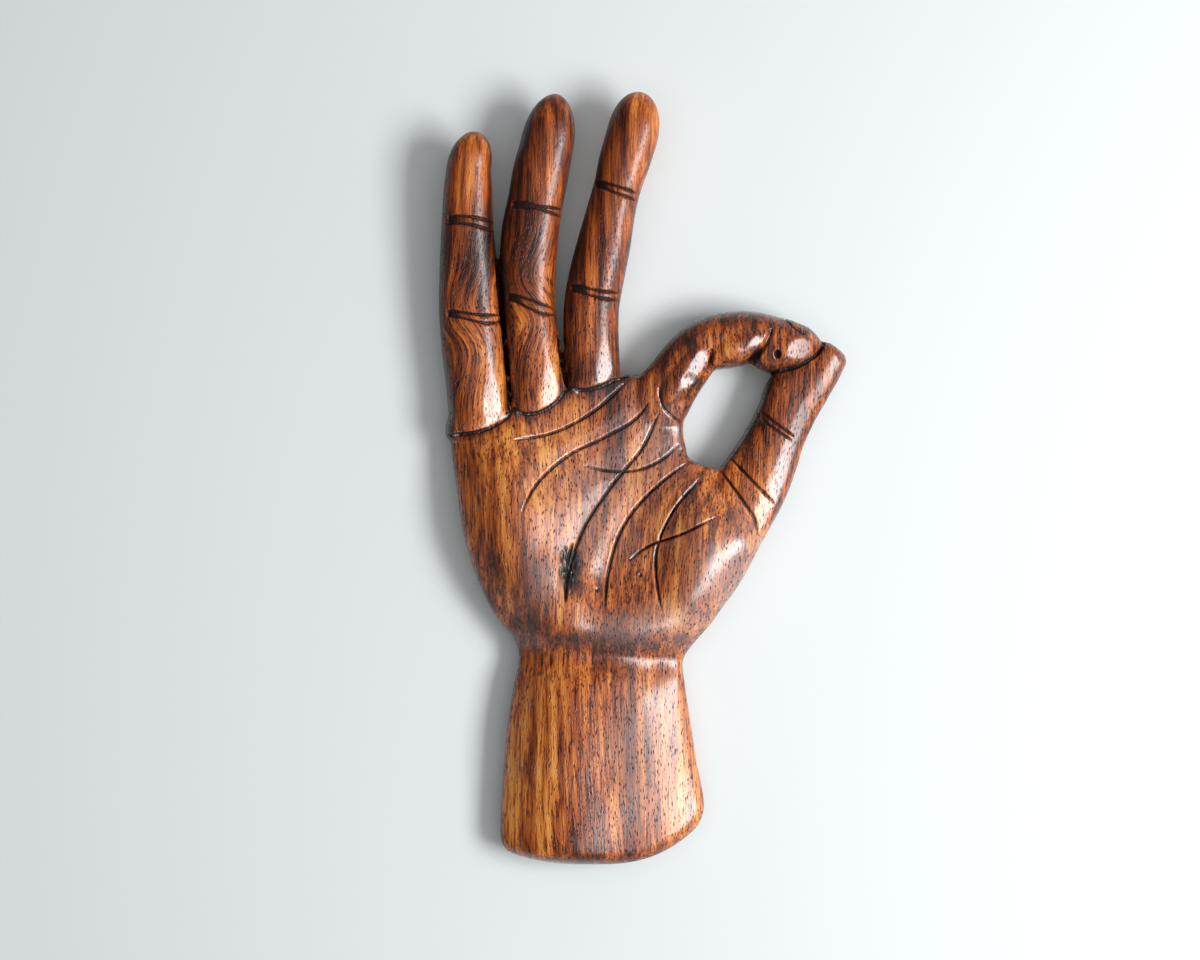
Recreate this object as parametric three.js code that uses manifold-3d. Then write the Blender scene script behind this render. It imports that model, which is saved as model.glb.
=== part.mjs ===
// A carved wooden hand that lies on its back: three straight fingers, and the index
// finger and thumb closed into a ring. Millimetres, +X to the thumb, +Y to the
// fingertips, +Z out of the palm. The back of the palm and wrist is the plane Z = 0.

import * as THREE from "three";
import { mergeVertices } from "three/addons/utils/BufferGeometryUtils.js";
import Module from "manifold-3d";

const wasm = await Module();
wasm.setup();

// Driving dimensions of the whole carving.
const WRIST_END_Y = -149.9;
const WRIST_CREASE_Y = -68.5;
const BACK_Z = 0;
const PARTING_GAP = 0.3;

// How round the sections are: 2 is an ellipse, more is squarer.
const FINGER_SQUARENESS = 2.3;
const THUMB_SQUARENESS = 4;
const PALM_TOP_SQUARENESS = 5;
const PALM_BACK_SQUARENESS = 3.5;

// How far the rounded back would pass the resting plane before it is planed flat.
const BACK_PLANED_OFF = 1.2;

// How much of the rounding at the palm and wrist ends the back takes part in.
const BACK_END_ROUNDING = 0.4;

// How finely the surfaces are divided.
const DIGIT_SIDES = 24;
const PALM_TOP_SPACES = 20;
const PALM_BACK_SPACES = 6;
const PALM_CORNER_SPACES = 8;
const RINGS_PER_STATION = 2;
const ROUNDED_END_RINGS = 6;

// How much of a digit's section is left as a small flat at its very end.
const END_FLAT_SHARE = 0.08;

// Each digit is a row of stations from root to tip: x, y and height of its middle, then
// half its width and half its depth. It is closed by a rounded root and a rounded tip,
// and two powers set how blunt each of them is. The top of the thumb is flatter: it falls
// to both sides by its dome and leans by its tilt.
const DIGITS = {
  little_finger: {
    stations: [
      [-63.4, 27, 10.2, 11.9, 10.2],
      [-64.3, 38, 10.5, 12.1, 10.1],
      [-65.4, 48.4, 10.9, 12.2, 10],
      [-66.8, 65.8, 11.6, 12.1, 9.9],
      [-67.3, 80, 12.8, 11.4, 9.7],
      [-67.7, 93.7, 14.2, 10.4, 9.4],
      [-67.5, 108, 15.9, 9.6, 9],
      [-67, 121, 17.3, 8.6, 8.3],
    ],
    root: [-66.5, 14, 9.6],
    rootPowers: [5, 0.5],
    tip: [-64.6, 134.9, 18.8],
    tipPowers: [2.2, 0.55],
    creases: [63, 99.5],
  },
  ring_finger: {
    stations: [
      [-39.9, 34, 10.8, 10.7, 10.4],
      [-41, 43.7, 11, 10.6, 10.3],
      [-42.2, 52.6, 11.3, 10.3, 10.2],
      [-43.9, 70.5, 12, 10.3, 10],
      [-44.2, 84, 13, 11, 9.9],
      [-43.2, 97, 14.3, 11.2, 9.7],
      [-40.5, 112, 15.6, 10.8, 9.4],
      [-37, 128.5, 17, 10.4, 9],
    ],
    root: [-42, 23, 10],
    rootPowers: [5, 0.5],
    tip: [-31, 149.4, 18.5],
    tipPowers: [1.9, 0.65],
    creases: [68, 105],
  },
  middle_finger: {
    stations: [
      [-18.6, 42, 11.2, 10.3, 10.4],
      [-19.3, 49.9, 11.4, 10.6, 10.3],
      [-19.8, 60, 11.8, 10.8, 10.2],
      [-19.5, 68, 12.2, 10.8, 10.1],
      [-17.6, 79, 13, 10.8, 10],
      [-14.7, 91.7, 14.2, 10.4, 9.8],
      [-11, 108, 15.6, 9.4, 9.4],
      [-6.9, 123, 16.9, 9.9, 9.2],
      [-4.1, 132, 17.6, 10.1, 9],
    ],
    root: [-20.5, 32, 10.4],
    rootPowers: [5, 0.5],
    tip: [0.3, 149.8, 18.8],
    tipPowers: [2.5, 0.52],
    creases: [72, 111.5],
  },
  index_finger: {
    stations: [
      [1.5, 22, 8, 11.5, 7.5],
      [7.9, 32.5, 10.8, 12.2, 9.4],
      [14.7, 41.9, 12, 10.8, 10],
      [22.2, 51.1, 12.4, 10, 9.9],
      [29, 53.7, 12.5, 10.9, 10.2],
      [34.6, 54.7, 12.6, 11, 10.3],
      [40, 55.4, 12.6, 10.5, 10.1],
      [45.1, 55.4, 12.5, 9.8, 9.8],
      [51.5, 52.6, 12.4, 11.1, 10.1],
      [57.4, 52.5, 12.2, 9.9, 9.8],
      [61.8, 52.4, 12, 8.2, 9.2],
    ],
    root: [-3, 14, 7],
    rootPowers: [2, 0.5],
    tip: [70.3, 52.8, 11.5],
    tipPowers: [1.4, 0.75],
    creases: [],
  },
  thumb: {
    stations: [
      [34, -15.6, 10.2, 15.6, 10],
      [44.5, 0.7, 10.2, 13.8, 10.2],
      [48.8, 9.2, 10.2, 12.5, 10.1],
      [52.5, 17.6, 10.1, 11.4, 10],
      [56.2, 25.5, 10.1, 11.2, 9.8],
      [59.6, 32.9, 10.1, 11.8, 9.7],
      [64.2, 37.5, 10.2, 10.6, 9.6],
      [69.6, 42.3, 10.3, 8, 9.2],
      [73, 46.6, 10.3, 6.6, 8.6],
    ],
    root: [26, -25, 9],
    rootPowers: [2, 0.5],
    tip: [76, 51.6, 10.2],
    tipPowers: [4, 0.45],
    creases: [],
    squareness: THUMB_SQUARENESS,
    dome: 0.25,
    tilt: 0.06,
  },
};

// The cut across a finger at each joint: its depth, and half its width along the finger.
const CREASE_DEPTH = 0.8;
const CREASE_HALF_WIDTH = 2.4;

// The soft pads on the inside of the bent index finger: middle x and y, direction, half
// length, half width and height.
const INDEX_PADS = [
  [16.2, 39.5, 0.61, 0.79, 15.5, 5.6, 2.3],
  [38.6, 51.6, 0.9, 0.43, 12.2, 5.4, 2.2],
  [59, 49.6, 0.99, 0.15, 9.5, 6.6, 1.6],
];

// The rounded wrist end: it reaches furthest at one x and falls back to each side.
const WRIST_BOW_Y = -110;
const WRIST_END = {
  furthestX: -16,
  halfWidth: 40,
  leftFall: 6.2,
  leftPower: 3,
  rightFall: 16.4,
  rightPower: 2.5,
  bevel: 7,
  inset: 3,
};

// The line of the finger roots, where the palm ends, and how far it rounds over there.
const KNUCKLE_LINE = [
  [-80, 11],
  [-75, 13.5],
  [-63, 18.5],
  [-51, 26],
  [-37, 28.5],
  [-28.5, 35],
  [-16, 37],
  [-3, 38.5],
  [5, 36],
  [14, 29],
  [24, 22],
  [40, 15],
];
const KNUCKLE_ROUNDING = 3;

// Rows across the palm and wrist: a place along, the left edge, the right edge and the
// height of the widest line. The place is a share of the way to the wrist end, then a y,
// then a share of the way to the line of the finger roots.
const WRIST_ROWS = [
  [1, -55.2, 24.4, 8],
  [0.8, -55.1, 24.1, 8],
  [0.5, -54.6, 23.3, 8.5],
  [0, -53.6, 21.4, 9],
];
const MIDDLE_ROWS = [
  [WRIST_BOW_Y, -53.6, 21.4, 9],
  [-96, -52.4, 19.4, 9],
  [-80, -49.9, 17, 9],
  [-69, -47.9, 16.6, 9],
  [-62.5, -49.2, 21.2, 9.5],
  [-56.6, -54, 26.3, 10],
  [-50.7, -58.3, 30.5, 10.5],
  [-38.9, -63.8, 38.7, 11],
  [-31.2, -66.5, 42.9, 11],
  [-23.4, -68.8, 46.2, 11],
  [-17, -70.2, 44, 10.5],
  [-7.8, -71.5, 38.3, 10],
  [0, -72.6, 32.8, 10],
];
const KNUCKLE_ROWS = [
  [0, -72.6, 32.8, 10],
  [0.14, -72.9, 31.6, 9.5],
  [0.22, -73.1, 28, 9.5],
  [0.28, -73.2, 21.8, 9.5],
  [0.5, -73.7, 17.3, 9],
  [0.7, -74, 16.2, 9],
  [0.9, -74.3, 16.3, 9],
  [1, -74.5, 15, 9],
];

// Spot heights of the palm and wrist: x, y and z. The ball of the thumb is the highest, a
// ridge runs along the outer edge, and the hollow lies between them.
const SPOT_HEIGHTS = [
  [-30, -140, 22.5],
  [-44, -138, 19],
  [-52, -132, 15],
  [-10, -140, 20.5],
  [5, -136, 18],
  [18, -125, 14.5],
  [-34, -112, 24],
  [-44, -112, 21],
  [-51, -112, 15.5],
  [-16, -112, 23.2],
  [0, -112, 20.8],
  [10, -112, 17.6],
  [18, -112, 14],
  [-32, -84, 24],
  [-41, -84, 20.5],
  [-47, -84, 16],
  [-16, -84, 23.2],
  [0, -84, 20.6],
  [12, -84, 15.6],
  [-20, -74, 23],
  [-40, -74, 19],
  [4, -74, 19],
  [-20, -62, 24.5],
  [-26, -54, 27],
  [-40, -54, 24.5],
  [-4, -57, 26.3],
  [8, -58, 24.6],
  [16, -58, 22.4],
  [-51, -54, 17],
  [24, -58, 18],
  [-45, -42, 27],
  [-61, -38, 19],
  [-47, -28, 28],
  [-64, -28, 20.5],
  [-49, -8, 27],
  [-67, -8, 20.5],
  [-51, 8, 23],
  [-71, 8, 16.5],
  [-40, -25, 26],
  [-32, -25, 23.5],
  [-22, -25, 20.6],
  [-12, -25, 18.6],
  [-40, -8, 25],
  [-30, -8, 22.2],
  [-20, -8, 19.4],
  [-10, -8, 17.3],
  [0, -8, 16.8],
  [-40, 5, 21.6],
  [-30, 4, 19.5],
  [-20, 4, 17.4],
  [-8, 6, 16.2],
  [-62, 14, 18.5],
  [-39, 21, 16.5],
  [-16, 31, 16.5],
  [-1, 35, 16.5],
  [20, -30, 30],
  [20, -14, 27.5],
  [18, -45, 28.4],
  [30, -30, 28.7],
  [37, -28, 26.5],
  [43, -23, 22.4],
  [25, -45, 27.4],
  [30, -45, 25.4],
  [36, -38, 23.4],
  [30, -18, 27.4],
  [36, -17, 25.6],
  [36, -7, 21.8],
  [6, -31, 23],
  [8, 14, 16],
  [4, 2, 17],
  [-4, -22, 18.2],
  [18, 8, 16.5],
  [26, 2, 18],
  [8, -45, 26],
  [-6, -45, 22.8],
  [-16, -38, 20.5],
];
const WRIST_CREASE_DEPTH = 3.6;
const WRIST_CREASE_REACH = 6.5;

// Below each finger root the wood is pared down to the palm: the root line and the level.
const PARED_LENGTH = 9;
const PARED_ROOTS = [
  {
    level: 18.3,
    line: [
      [-82, 16],
      [-75, 17.4],
      [-63.5, 18.6],
      [-57.6, 20.6],
      [-50.5, 26.5],
    ],
  },
  {
    level: 16.7,
    line: [
      [-50, 27.7],
      [-46.6, 25.9],
      [-37, 27.4],
      [-33.4, 30],
      [-28.9, 35.4],
    ],
  },
  {
    level: 16.7,
    line: [
      [-28, 35.9],
      [-23.6, 34.8],
      [-15.9, 36.2],
      [-10.5, 38.6],
      [-5.1, 40.2],
    ],
  },
];

// Lines that the carving is parted along, seen from above.
const PARTING_LINES = {
  fingerRoots: [
    [-82, 14.5],
    [-71.7, 18],
    [-63.6, 17.8],
    [-57.6, 20.2],
    [-50.5, 25.6],
    [-37, 26.4],
    [-28.9, 34.4],
    [-15.9, 35.6],
    [-3.9, 40.6],
    [0.5, 50],
  ],
  littleToRing: [
    [-50.5, 25],
    [-52, 46],
  ],
  ringToMiddle: [
    [-28.9, 33.5],
    [-30.6, 56],
  ],
  indexRoot: [
    [-4, 42.5],
    [6.5, 36.2],
    [7.2, 30.8],
    [12.2, 24.2],
    [22, 18],
  ],
  indexTip: [
    [44, 39],
    [53.4, 41.9],
    [58.8, 43.1],
    [63.4, 45.4],
    [69.9, 52.7],
    [75, 61],
  ],
  thumbRoot: [
    [24, 10],
    [30.2, 3.8],
    [39.8, -9.2],
    [44, -15.7],
    [45.5, -21.9],
    [56, -32],
  ],
  wristCrease: [
    [-60, WRIST_CREASE_Y],
    [30, WRIST_CREASE_Y],
  ],
};
const PARTING_BOTTOM_Z = -5;
const PARTING_TOP_Z = 50;

// Where the middle of each piece lies, seen from above, and the colour of its wood.
const PIECES = {
  wrist: { middle: [-16, -110], colour: 0x9a5526 },
  palm: { middle: [-16, -15], colour: 0x9c5424 },
  thumb: { middle: [55, 20], colour: 0x96501f },
  index_finger: { middle: [35, 48], colour: 0x8a4520 },
  middle_finger: { middle: [-14, 88], colour: 0x97501f },
  ring_finger: { middle: [-42, 82], colour: 0x864320 },
  little_finger: { middle: [-66, 75], colour: 0x80401e },
};
const LACQUER_ROUGHNESS = 0.35;

// Faces that close an end ring with a strip between its upper and its lower half, so a
// bent end stays upright. The upper half is the first points of the ring.
function capFaces(ring, upperCount) {
  const upper = Array.from({ length: upperCount + 1 }, (_, step) => step);
  const lower = Array.from({ length: ring.length - upperCount }, (_, step) => ring.length - 1 - step);
  lower.unshift(0);
  const faces = [];
  let above = 0;
  let below = 0;
  while (above + 1 < upper.length || below + 1 < lower.length) {
    const isUpperDone = above + 1 === upper.length;
    const isLowerDone = below + 1 === lower.length;
    const upperSpan = isUpperDone ? Infinity : ring[upper[above + 1]].distanceTo(ring[lower[below]]);
    const lowerSpan = isLowerDone ? Infinity : ring[upper[above]].distanceTo(ring[lower[below + 1]]);
    if (upperSpan < lowerSpan) {
      faces.push([upper[above], upper[above + 1], lower[below]]);
      above += 1;
    } else {
      faces.push([upper[above], lower[below + 1], lower[below]]);
      below += 1;
    }
  }
  return faces.filter((face) => new Set(face).size === 3);
}

// A closed skin over rings of equal length.
function skin(rings, upperCount) {
  const sides = rings[0].length;
  const faces = [];
  for (let row = 0; row + 1 < rings.length; row += 1) {
    for (let side = 0; side < sides; side += 1) {
      const here = row * sides + side;
      const beside = row * sides + ((side + 1) % sides);
      faces.push(here, beside + sides, beside);
      faces.push(here, here + sides, beside + sides);
    }
  }
  const last = (rings.length - 1) * sides;
  for (const [a, b, c] of capFaces(rings[0], upperCount)) {
    faces.push(a, b, c);
  }
  for (const [a, b, c] of capFaces(rings.at(-1), upperCount)) {
    faces.push(last + a, last + c, last + b);
  }
  const geometry = new THREE.BufferGeometry().setFromPoints(rings.flat());
  geometry.setIndex(faces);
  return geometry;
}

function solidOf(geometry) {
  geometry.deleteAttribute("normal");
  geometry.deleteAttribute("uv");
  const merged = mergeVertices(geometry);
  const mesh = new wasm.Mesh({
    numProp: 3,
    vertProperties: merged.attributes.position.array,
    triVerts: new Uint32Array(merged.index.array),
  });
  return new wasm.Manifold(mesh);
}

function geometryOf(solid) {
  const mesh = solid.getMesh();
  const geometry = new THREE.BufferGeometry();
  geometry.setAttribute("position", new THREE.BufferAttribute(mesh.vertProperties, 3));
  geometry.setIndex(new THREE.BufferAttribute(mesh.triVerts, 1));
  geometry.computeVertexNormals();
  return geometry;
}

// A smooth line through columns of a table of stations.
function lineThrough(stations, columns) {
  return new THREE.CatmullRomCurve3(
    stations.map((station) => new THREE.Vector3(...columns.map((column) => station[column]))),
  );
}

// A number raised to a power with its sign kept, for squarish rounds.
function signedPower(value, power) {
  return Math.sign(value) * Math.abs(value) ** power;
}

// The level direction that points to the right of a run.
function rightOf(direction) {
  return new THREE.Vector3(direction.y, -direction.x, 0).normalize();
}

// How far the pads of the index finger rise at a place.
function padHeight(x, y) {
  const heights = INDEX_PADS.map(([middleX, middleY, aheadX, aheadY, length, width, height]) => {
    const along = ((x - middleX) * aheadX + (y - middleY) * aheadY) / length;
    const across = ((y - middleY) * aheadX - (x - middleX) * aheadY) / width;
    return height * Math.max(0, 1 - along * along - across * across);
  });
  return Math.max(...heights);
}

// A section across a digit, upright and square to its run as seen from above.
function digitRing(middle, right, size, shape, dip = 0) {
  const { squareness = FINGER_SQUARENESS, dome = 0, tilt = 0 } = shape;
  const ring = [];
  for (let side = 0; side < DIGIT_SIDES; side += 1) {
    const angle = (2 * Math.PI * side) / DIGIT_SIDES;
    const across = signedPower(Math.cos(angle), 2 / squareness);
    const up = signedPower(Math.sin(angle), 2 / squareness);
    const point = middle.clone().addScaledVector(right, across * size.x);
    if (up > 0) {
      point.z += size.y * up * (1 - dome * across * across + tilt * across) - dip * up;
      point.z += padHeight(point.x, point.y) * up;
    } else {
      point.z = Math.max(BACK_Z, point.z + size.y * up);
    }
    ring.push(point);
  }
  return ring;
}

// How deep the joint cuts are at a distance along a finger.
function creaseDip(creases, y) {
  const depths = creases.map((creaseY) => {
    const reach = Math.abs(y - creaseY) / CREASE_HALF_WIDTH;
    return CREASE_DEPTH * Math.max(0, 1 - reach);
  });
  return Math.max(0, ...depths);
}

// Where along a run, from 0 to 1, it passes a given y.
function placeAtY(run, y) {
  let low = 0;
  let high = 1;
  for (let halving = 0; halving < 30; halving += 1) {
    const middle = (low + high) / 2;
    if (run.getPoint(middle).y < y) {
      low = middle;
    } else {
      high = middle;
    }
  }
  return low;
}

// Rings that round off an end of a digit, from its last full section out to a point.
function endRings(middle, point, right, size, [power, bluntness], shape) {
  const rings = [];
  for (let ring = 1; ring <= ROUNDED_END_RINGS; ring += 1) {
    const out = Math.sin((ring / ROUNDED_END_RINGS) * (Math.PI / 2));
    const share = Math.max(END_FLAT_SHARE, (1 - out ** power) ** bluntness);
    const moved = middle.clone().lerp(point, out);
    rings.push(digitRing(moved, right, size.clone().multiplyScalar(share), shape));
  }
  return rings;
}

function digit(shape) {
  const { stations, creases } = shape;
  const run = lineThrough(stations, [0, 1, 2]);
  const sizes = lineThrough(stations, [3, 4, 2]);
  const steps = (stations.length - 1) * RINGS_PER_STATION;
  const places = Array.from({ length: steps + 1 }, (_, step) => step / steps);
  for (const creaseY of creases) {
    for (const offset of [-CREASE_HALF_WIDTH, 0, CREASE_HALF_WIDTH]) {
      places.push(placeAtY(run, creaseY + offset));
    }
  }
  places.sort((a, b) => a - b);
  const rings = places.map((place) => {
    const middle = run.getPoint(place);
    const right = rightOf(run.getTangent(place));
    return digitRing(middle, right, sizes.getPoint(place), shape, creaseDip(creases, middle.y));
  });

  const root = new THREE.Vector3(...shape.root);
  const tip = new THREE.Vector3(...shape.tip);
  const rootRight = rightOf(run.getTangent(0));
  const tipRight = rightOf(run.getTangent(1));
  const rootSize = sizes.getPoint(0);
  const tipSize = sizes.getPoint(1);
  const rootRings = endRings(run.getPoint(0), root, rootRight, rootSize, shape.rootPowers, shape);
  const tipRings = endRings(run.getPoint(1), tip, tipRight, tipSize, shape.tipPowers, shape);
  return solidOf(skin([...rootRings.reverse(), ...rings, ...tipRings], DIGIT_SIDES / 2));
}

// Solves a set of linear equations. Each row ends with its right-hand side.
function solved(equations) {
  const rows = equations.map((row) => [...row]);
  const count = rows.length;
  for (let column = 0; column < count; column += 1) {
    let pivot = column;
    for (let row = column + 1; row < count; row += 1) {
      if (Math.abs(rows[row][column]) > Math.abs(rows[pivot][column])) {
        pivot = row;
      }
    }
    [rows[column], rows[pivot]] = [rows[pivot], rows[column]];
    for (let row = 0; row < count; row += 1) {
      const factor = row === column ? 0 : rows[row][column] / rows[column][column];
      for (let place = column; factor !== 0 && place <= count; place += 1) {
        rows[row][place] -= factor * rows[column][place];
      }
    }
  }
  return rows.map((row, column) => row[count] / row[column]);
}

// The height of a thin sheet that is bent through spot heights.
function bentSheet(spots) {
  const bend = (acrossX, acrossY) => {
    const apart = Math.hypot(acrossX, acrossY);
    return apart > 0 ? apart * apart * Math.log(apart) : 0;
  };
  const equations = spots.map(([x, y, height]) => {
    const bends = spots.map(([spotX, spotY]) => bend(x - spotX, y - spotY));
    return [...bends, 1, x, y, height];
  });
  equations.push([...spots.map(() => 1), 0, 0, 0, 0]);
  equations.push([...spots.map(([x]) => x), 0, 0, 0, 0]);
  equations.push([...spots.map(([, y]) => y), 0, 0, 0, 0]);
  const weights = solved(equations);
  const [level, slopeX, slopeY] = weights.slice(-3);
  return (x, y) => {
    const bends = spots.map(([spotX, spotY], index) => weights[index] * bend(x - spotX, y - spotY));
    return bends.reduce((sum, part) => sum + part, level + slopeX * x + slopeY * y);
  };
}

const sheetHeight = bentSheet(SPOT_HEIGHTS);

function palmHeight(x, y) {
  const reach = (y - WRIST_CREASE_Y) / WRIST_CREASE_REACH;
  return sheetHeight(x, y) - WRIST_CREASE_DEPTH * Math.exp(-reach * reach);
}

// The y of the rounded wrist end at a given x.
function wristEndY(x) {
  const place = (x - WRIST_END.furthestX) / WRIST_END.halfWidth;
  const isLeft = place < 0;
  const fall = isLeft ? WRIST_END.leftFall : WRIST_END.rightFall;
  const power = isLeft ? WRIST_END.leftPower : WRIST_END.rightPower;
  return WRIST_END_Y + fall * Math.abs(place) ** power;
}

// The y of the line of the finger roots at a given x.
function knuckleY(x) {
  const next = KNUCKLE_LINE.findIndex(([lineX]) => lineX > x);
  const [fromX, fromY] = KNUCKLE_LINE[next - 1];
  const [toX, toY] = KNUCKLE_LINE[next];
  return THREE.MathUtils.mapLinear(x, fromX, toX, fromY, toY);
}

// Angles over half a squarish round, from 0 up to pi: some spaced evenly across, for the
// flat middle, and some spaced evenly in angle, for the two corners.
function archAngles(squareness, spaces) {
  const across = Array.from({ length: spaces }, (_, step) => 1 - (2 * step) / spaces);
  const angles = across.map((place) => Math.acos(signedPower(place, squareness / 2)));
  for (let step = 1; step < PALM_CORNER_SPACES; step += 1) {
    angles.push((Math.PI * step) / PALM_CORNER_SPACES);
  }
  angles.sort((a, b) => a - b);
  return angles.filter((angle, index) => index === 0 || angle - angles[index - 1] > 0.01);
}

const PALM_TOP_ANGLES = archAngles(PALM_TOP_SQUARENESS, PALM_TOP_SPACES);
const PALM_BACK_ANGLES = archAngles(PALM_BACK_SQUARENESS, PALM_BACK_SPACES);
const PALM_ANGLES = [...PALM_TOP_ANGLES, ...PALM_BACK_ANGLES.map((angle) => Math.PI + angle)];

// A section across the palm or wrist: an arch under the spot heights, over a flat back.
// Rise is how much of the arch is left at a rounded end. The back rounds off less.
function palmRing(left, right, widest, yAt, rise = 1) {
  const ring = [];
  for (const angle of PALM_ANGLES) {
    const isTop = angle < Math.PI;
    const power = 2 / (isTop ? PALM_TOP_SQUARENESS : PALM_BACK_SQUARENESS);
    const place = signedPower(Math.cos(angle), power);
    const share = isTop ? rise : 1 - BACK_END_ROUNDING * (1 - rise);
    const arch = Math.abs(Math.sin(angle)) ** power * share;
    const x = (left + right) / 2 + (place * (right - left)) / 2;
    const y = yAt(x);
    const height = isTop ? palmHeight(x, y) - widest : -widest - BACK_PLANED_OFF;
    ring.push(new THREE.Vector3(x, y, Math.max(BACK_Z, widest + arch * height)));
  }
  return ring;
}

// Sections along a table of rows, with the y of each given by its place and x.
function palmRings(rows, yAt) {
  const edges = lineThrough(rows, [1, 0, 2]);
  const levels = lineThrough(rows, [3, 0, 3]);
  const steps = (rows.length - 1) * RINGS_PER_STATION;
  const rings = [];
  for (let step = 0; step <= steps; step += 1) {
    const edge = edges.getPoint(step / steps);
    const level = levels.getPoint(step / steps);
    rings.push(palmRing(edge.x, edge.z, level.x, (x) => yAt(edge.y, x)));
  }
  return rings;
}

function palmAndWrist() {
  const bentY = (share, x, bevel) => WRIST_BOW_Y + share * (wristEndY(x) + bevel - WRIST_BOW_Y);
  const wristEnd = [];
  const knuckleEnd = [];
  for (let ring = 1; ring <= ROUNDED_END_RINGS; ring += 1) {
    const out = Math.sin((ring / ROUNDED_END_RINGS) * (Math.PI / 2));
    const [, wristLeft, wristRight, wristWidest] = WRIST_ROWS[0];
    const inset = WRIST_END.inset * out ** 3;
    const wristRise = (1 - (0.99 * out) ** 2.5) ** 0.5;
    const wristY = (x) => bentY(1, x, WRIST_END.bevel * (1 - out));
    wristEnd.push(palmRing(wristLeft + inset, wristRight - inset, wristWidest, wristY, wristRise));
    const [, left, right, widest] = KNUCKLE_ROWS.at(-1);
    const rise = (1 - (0.95 * out) ** 2) ** 0.5;
    const pastKnuckles = (x) => knuckleY(x) + KNUCKLE_ROUNDING * out;
    knuckleEnd.push(palmRing(left + 2 * out, right - 2 * out, widest, pastKnuckles, rise));
  }
  const rings = [
    ...wristEnd.reverse(),
    ...palmRings(WRIST_ROWS, (share, x) => bentY(share, x, WRIST_END.bevel)).slice(0, -1),
    ...palmRings(MIDDLE_ROWS, (y) => y),
    ...palmRings(KNUCKLE_ROWS, (share, x) => share * knuckleY(x)).slice(1),
    ...knuckleEnd,
  ];
  return solidOf(skin(rings, PALM_TOP_ANGLES.length));
}

// The wood above the palm that is pared away below a finger root.
function paredRoot({ level, line }) {
  const near = line.map(([x, y]) => new THREE.Vector2(x, y));
  const far = line.map(([x, y]) => new THREE.Vector2(x, y - PARED_LENGTH));
  const block = new THREE.ExtrudeGeometry(new THREE.Shape([...far, ...near.reverse()]), {
    depth: PARTING_TOP_Z - level,
    bevelEnabled: false,
  });
  block.translate(0, 0, level);
  return solidOf(block);
}

// A thin upright wall along a line seen from above, to part the carving with.
function partingWall(line) {
  const half = PARTING_GAP / 2;
  const near = [];
  const far = [];
  line.forEach(([x, y], index) => {
    const before = line[Math.max(0, index - 1)];
    const after = line[Math.min(line.length - 1, index + 1)];
    const along = new THREE.Vector2(after[0] - before[0], after[1] - before[1]).normalize();
    near.push(new THREE.Vector2(x + along.y * half, y - along.x * half));
    far.push(new THREE.Vector2(x - along.y * half, y + along.x * half));
  });
  const outline = new THREE.Shape([...near, ...far.reverse()]);
  const wall = new THREE.ExtrudeGeometry(outline, {
    depth: PARTING_TOP_Z - PARTING_BOTTOM_Z,
    bevelEnabled: false,
  });
  wall.translate(0, 0, PARTING_BOTTOM_Z);
  return solidOf(wall);
}

// The carving is one body first, then it is parted along its carved lines.
let carving = palmAndWrist();
for (const shape of Object.values(DIGITS)) {
  carving = carving.add(digit(shape));
}
for (const root of PARED_ROOTS) {
  carving = carving.subtract(paredRoot(root));
}
for (const line of Object.values(PARTING_LINES)) {
  carving = carving.subtract(partingWall(line));
}
const bodies = carving.decompose().map(geometryOf);
if (bodies.length !== Object.keys(PIECES).length) {
  throw new Error(`the parting lines leave ${bodies.length} pieces`);
}

const hand = new THREE.Group();
for (const [name, { middle, colour }] of Object.entries(PIECES)) {
  const spot = new THREE.Vector2(...middle);
  const distance = (body) => {
    body.computeBoundingBox();
    const centre = body.boundingBox.getCenter(new THREE.Vector3());
    return spot.distanceTo(centre);
  };
  bodies.sort((a, b) => distance(a) - distance(b));
  const wood = new THREE.MeshStandardMaterial({
    color: colour,
    roughness: LACQUER_ROUGHNESS,
    metalness: 0,
  });
  const piece = new THREE.Mesh(bodies.shift(), wood);
  piece.name = name;
  hand.add(piece);
}

export default hand;
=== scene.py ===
# %% [markdown]
# # A carved wooden hand
# The object is an ornament: a hand carved out of one plank of open-pored hardwood, stained
# red-brown and lacquered. It lies on its back, palm up, and the index finger and the thumb close into
# a ring. This lesson rebuilds it the way a carver would: first the round forms are roughed out, then
# they are blended into one body, then the fine lines are cut, and last comes the finish.

import bmesh
import bpy
import numpy as np
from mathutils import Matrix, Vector
from mathutils.bvhtree import BVHTree


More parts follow.
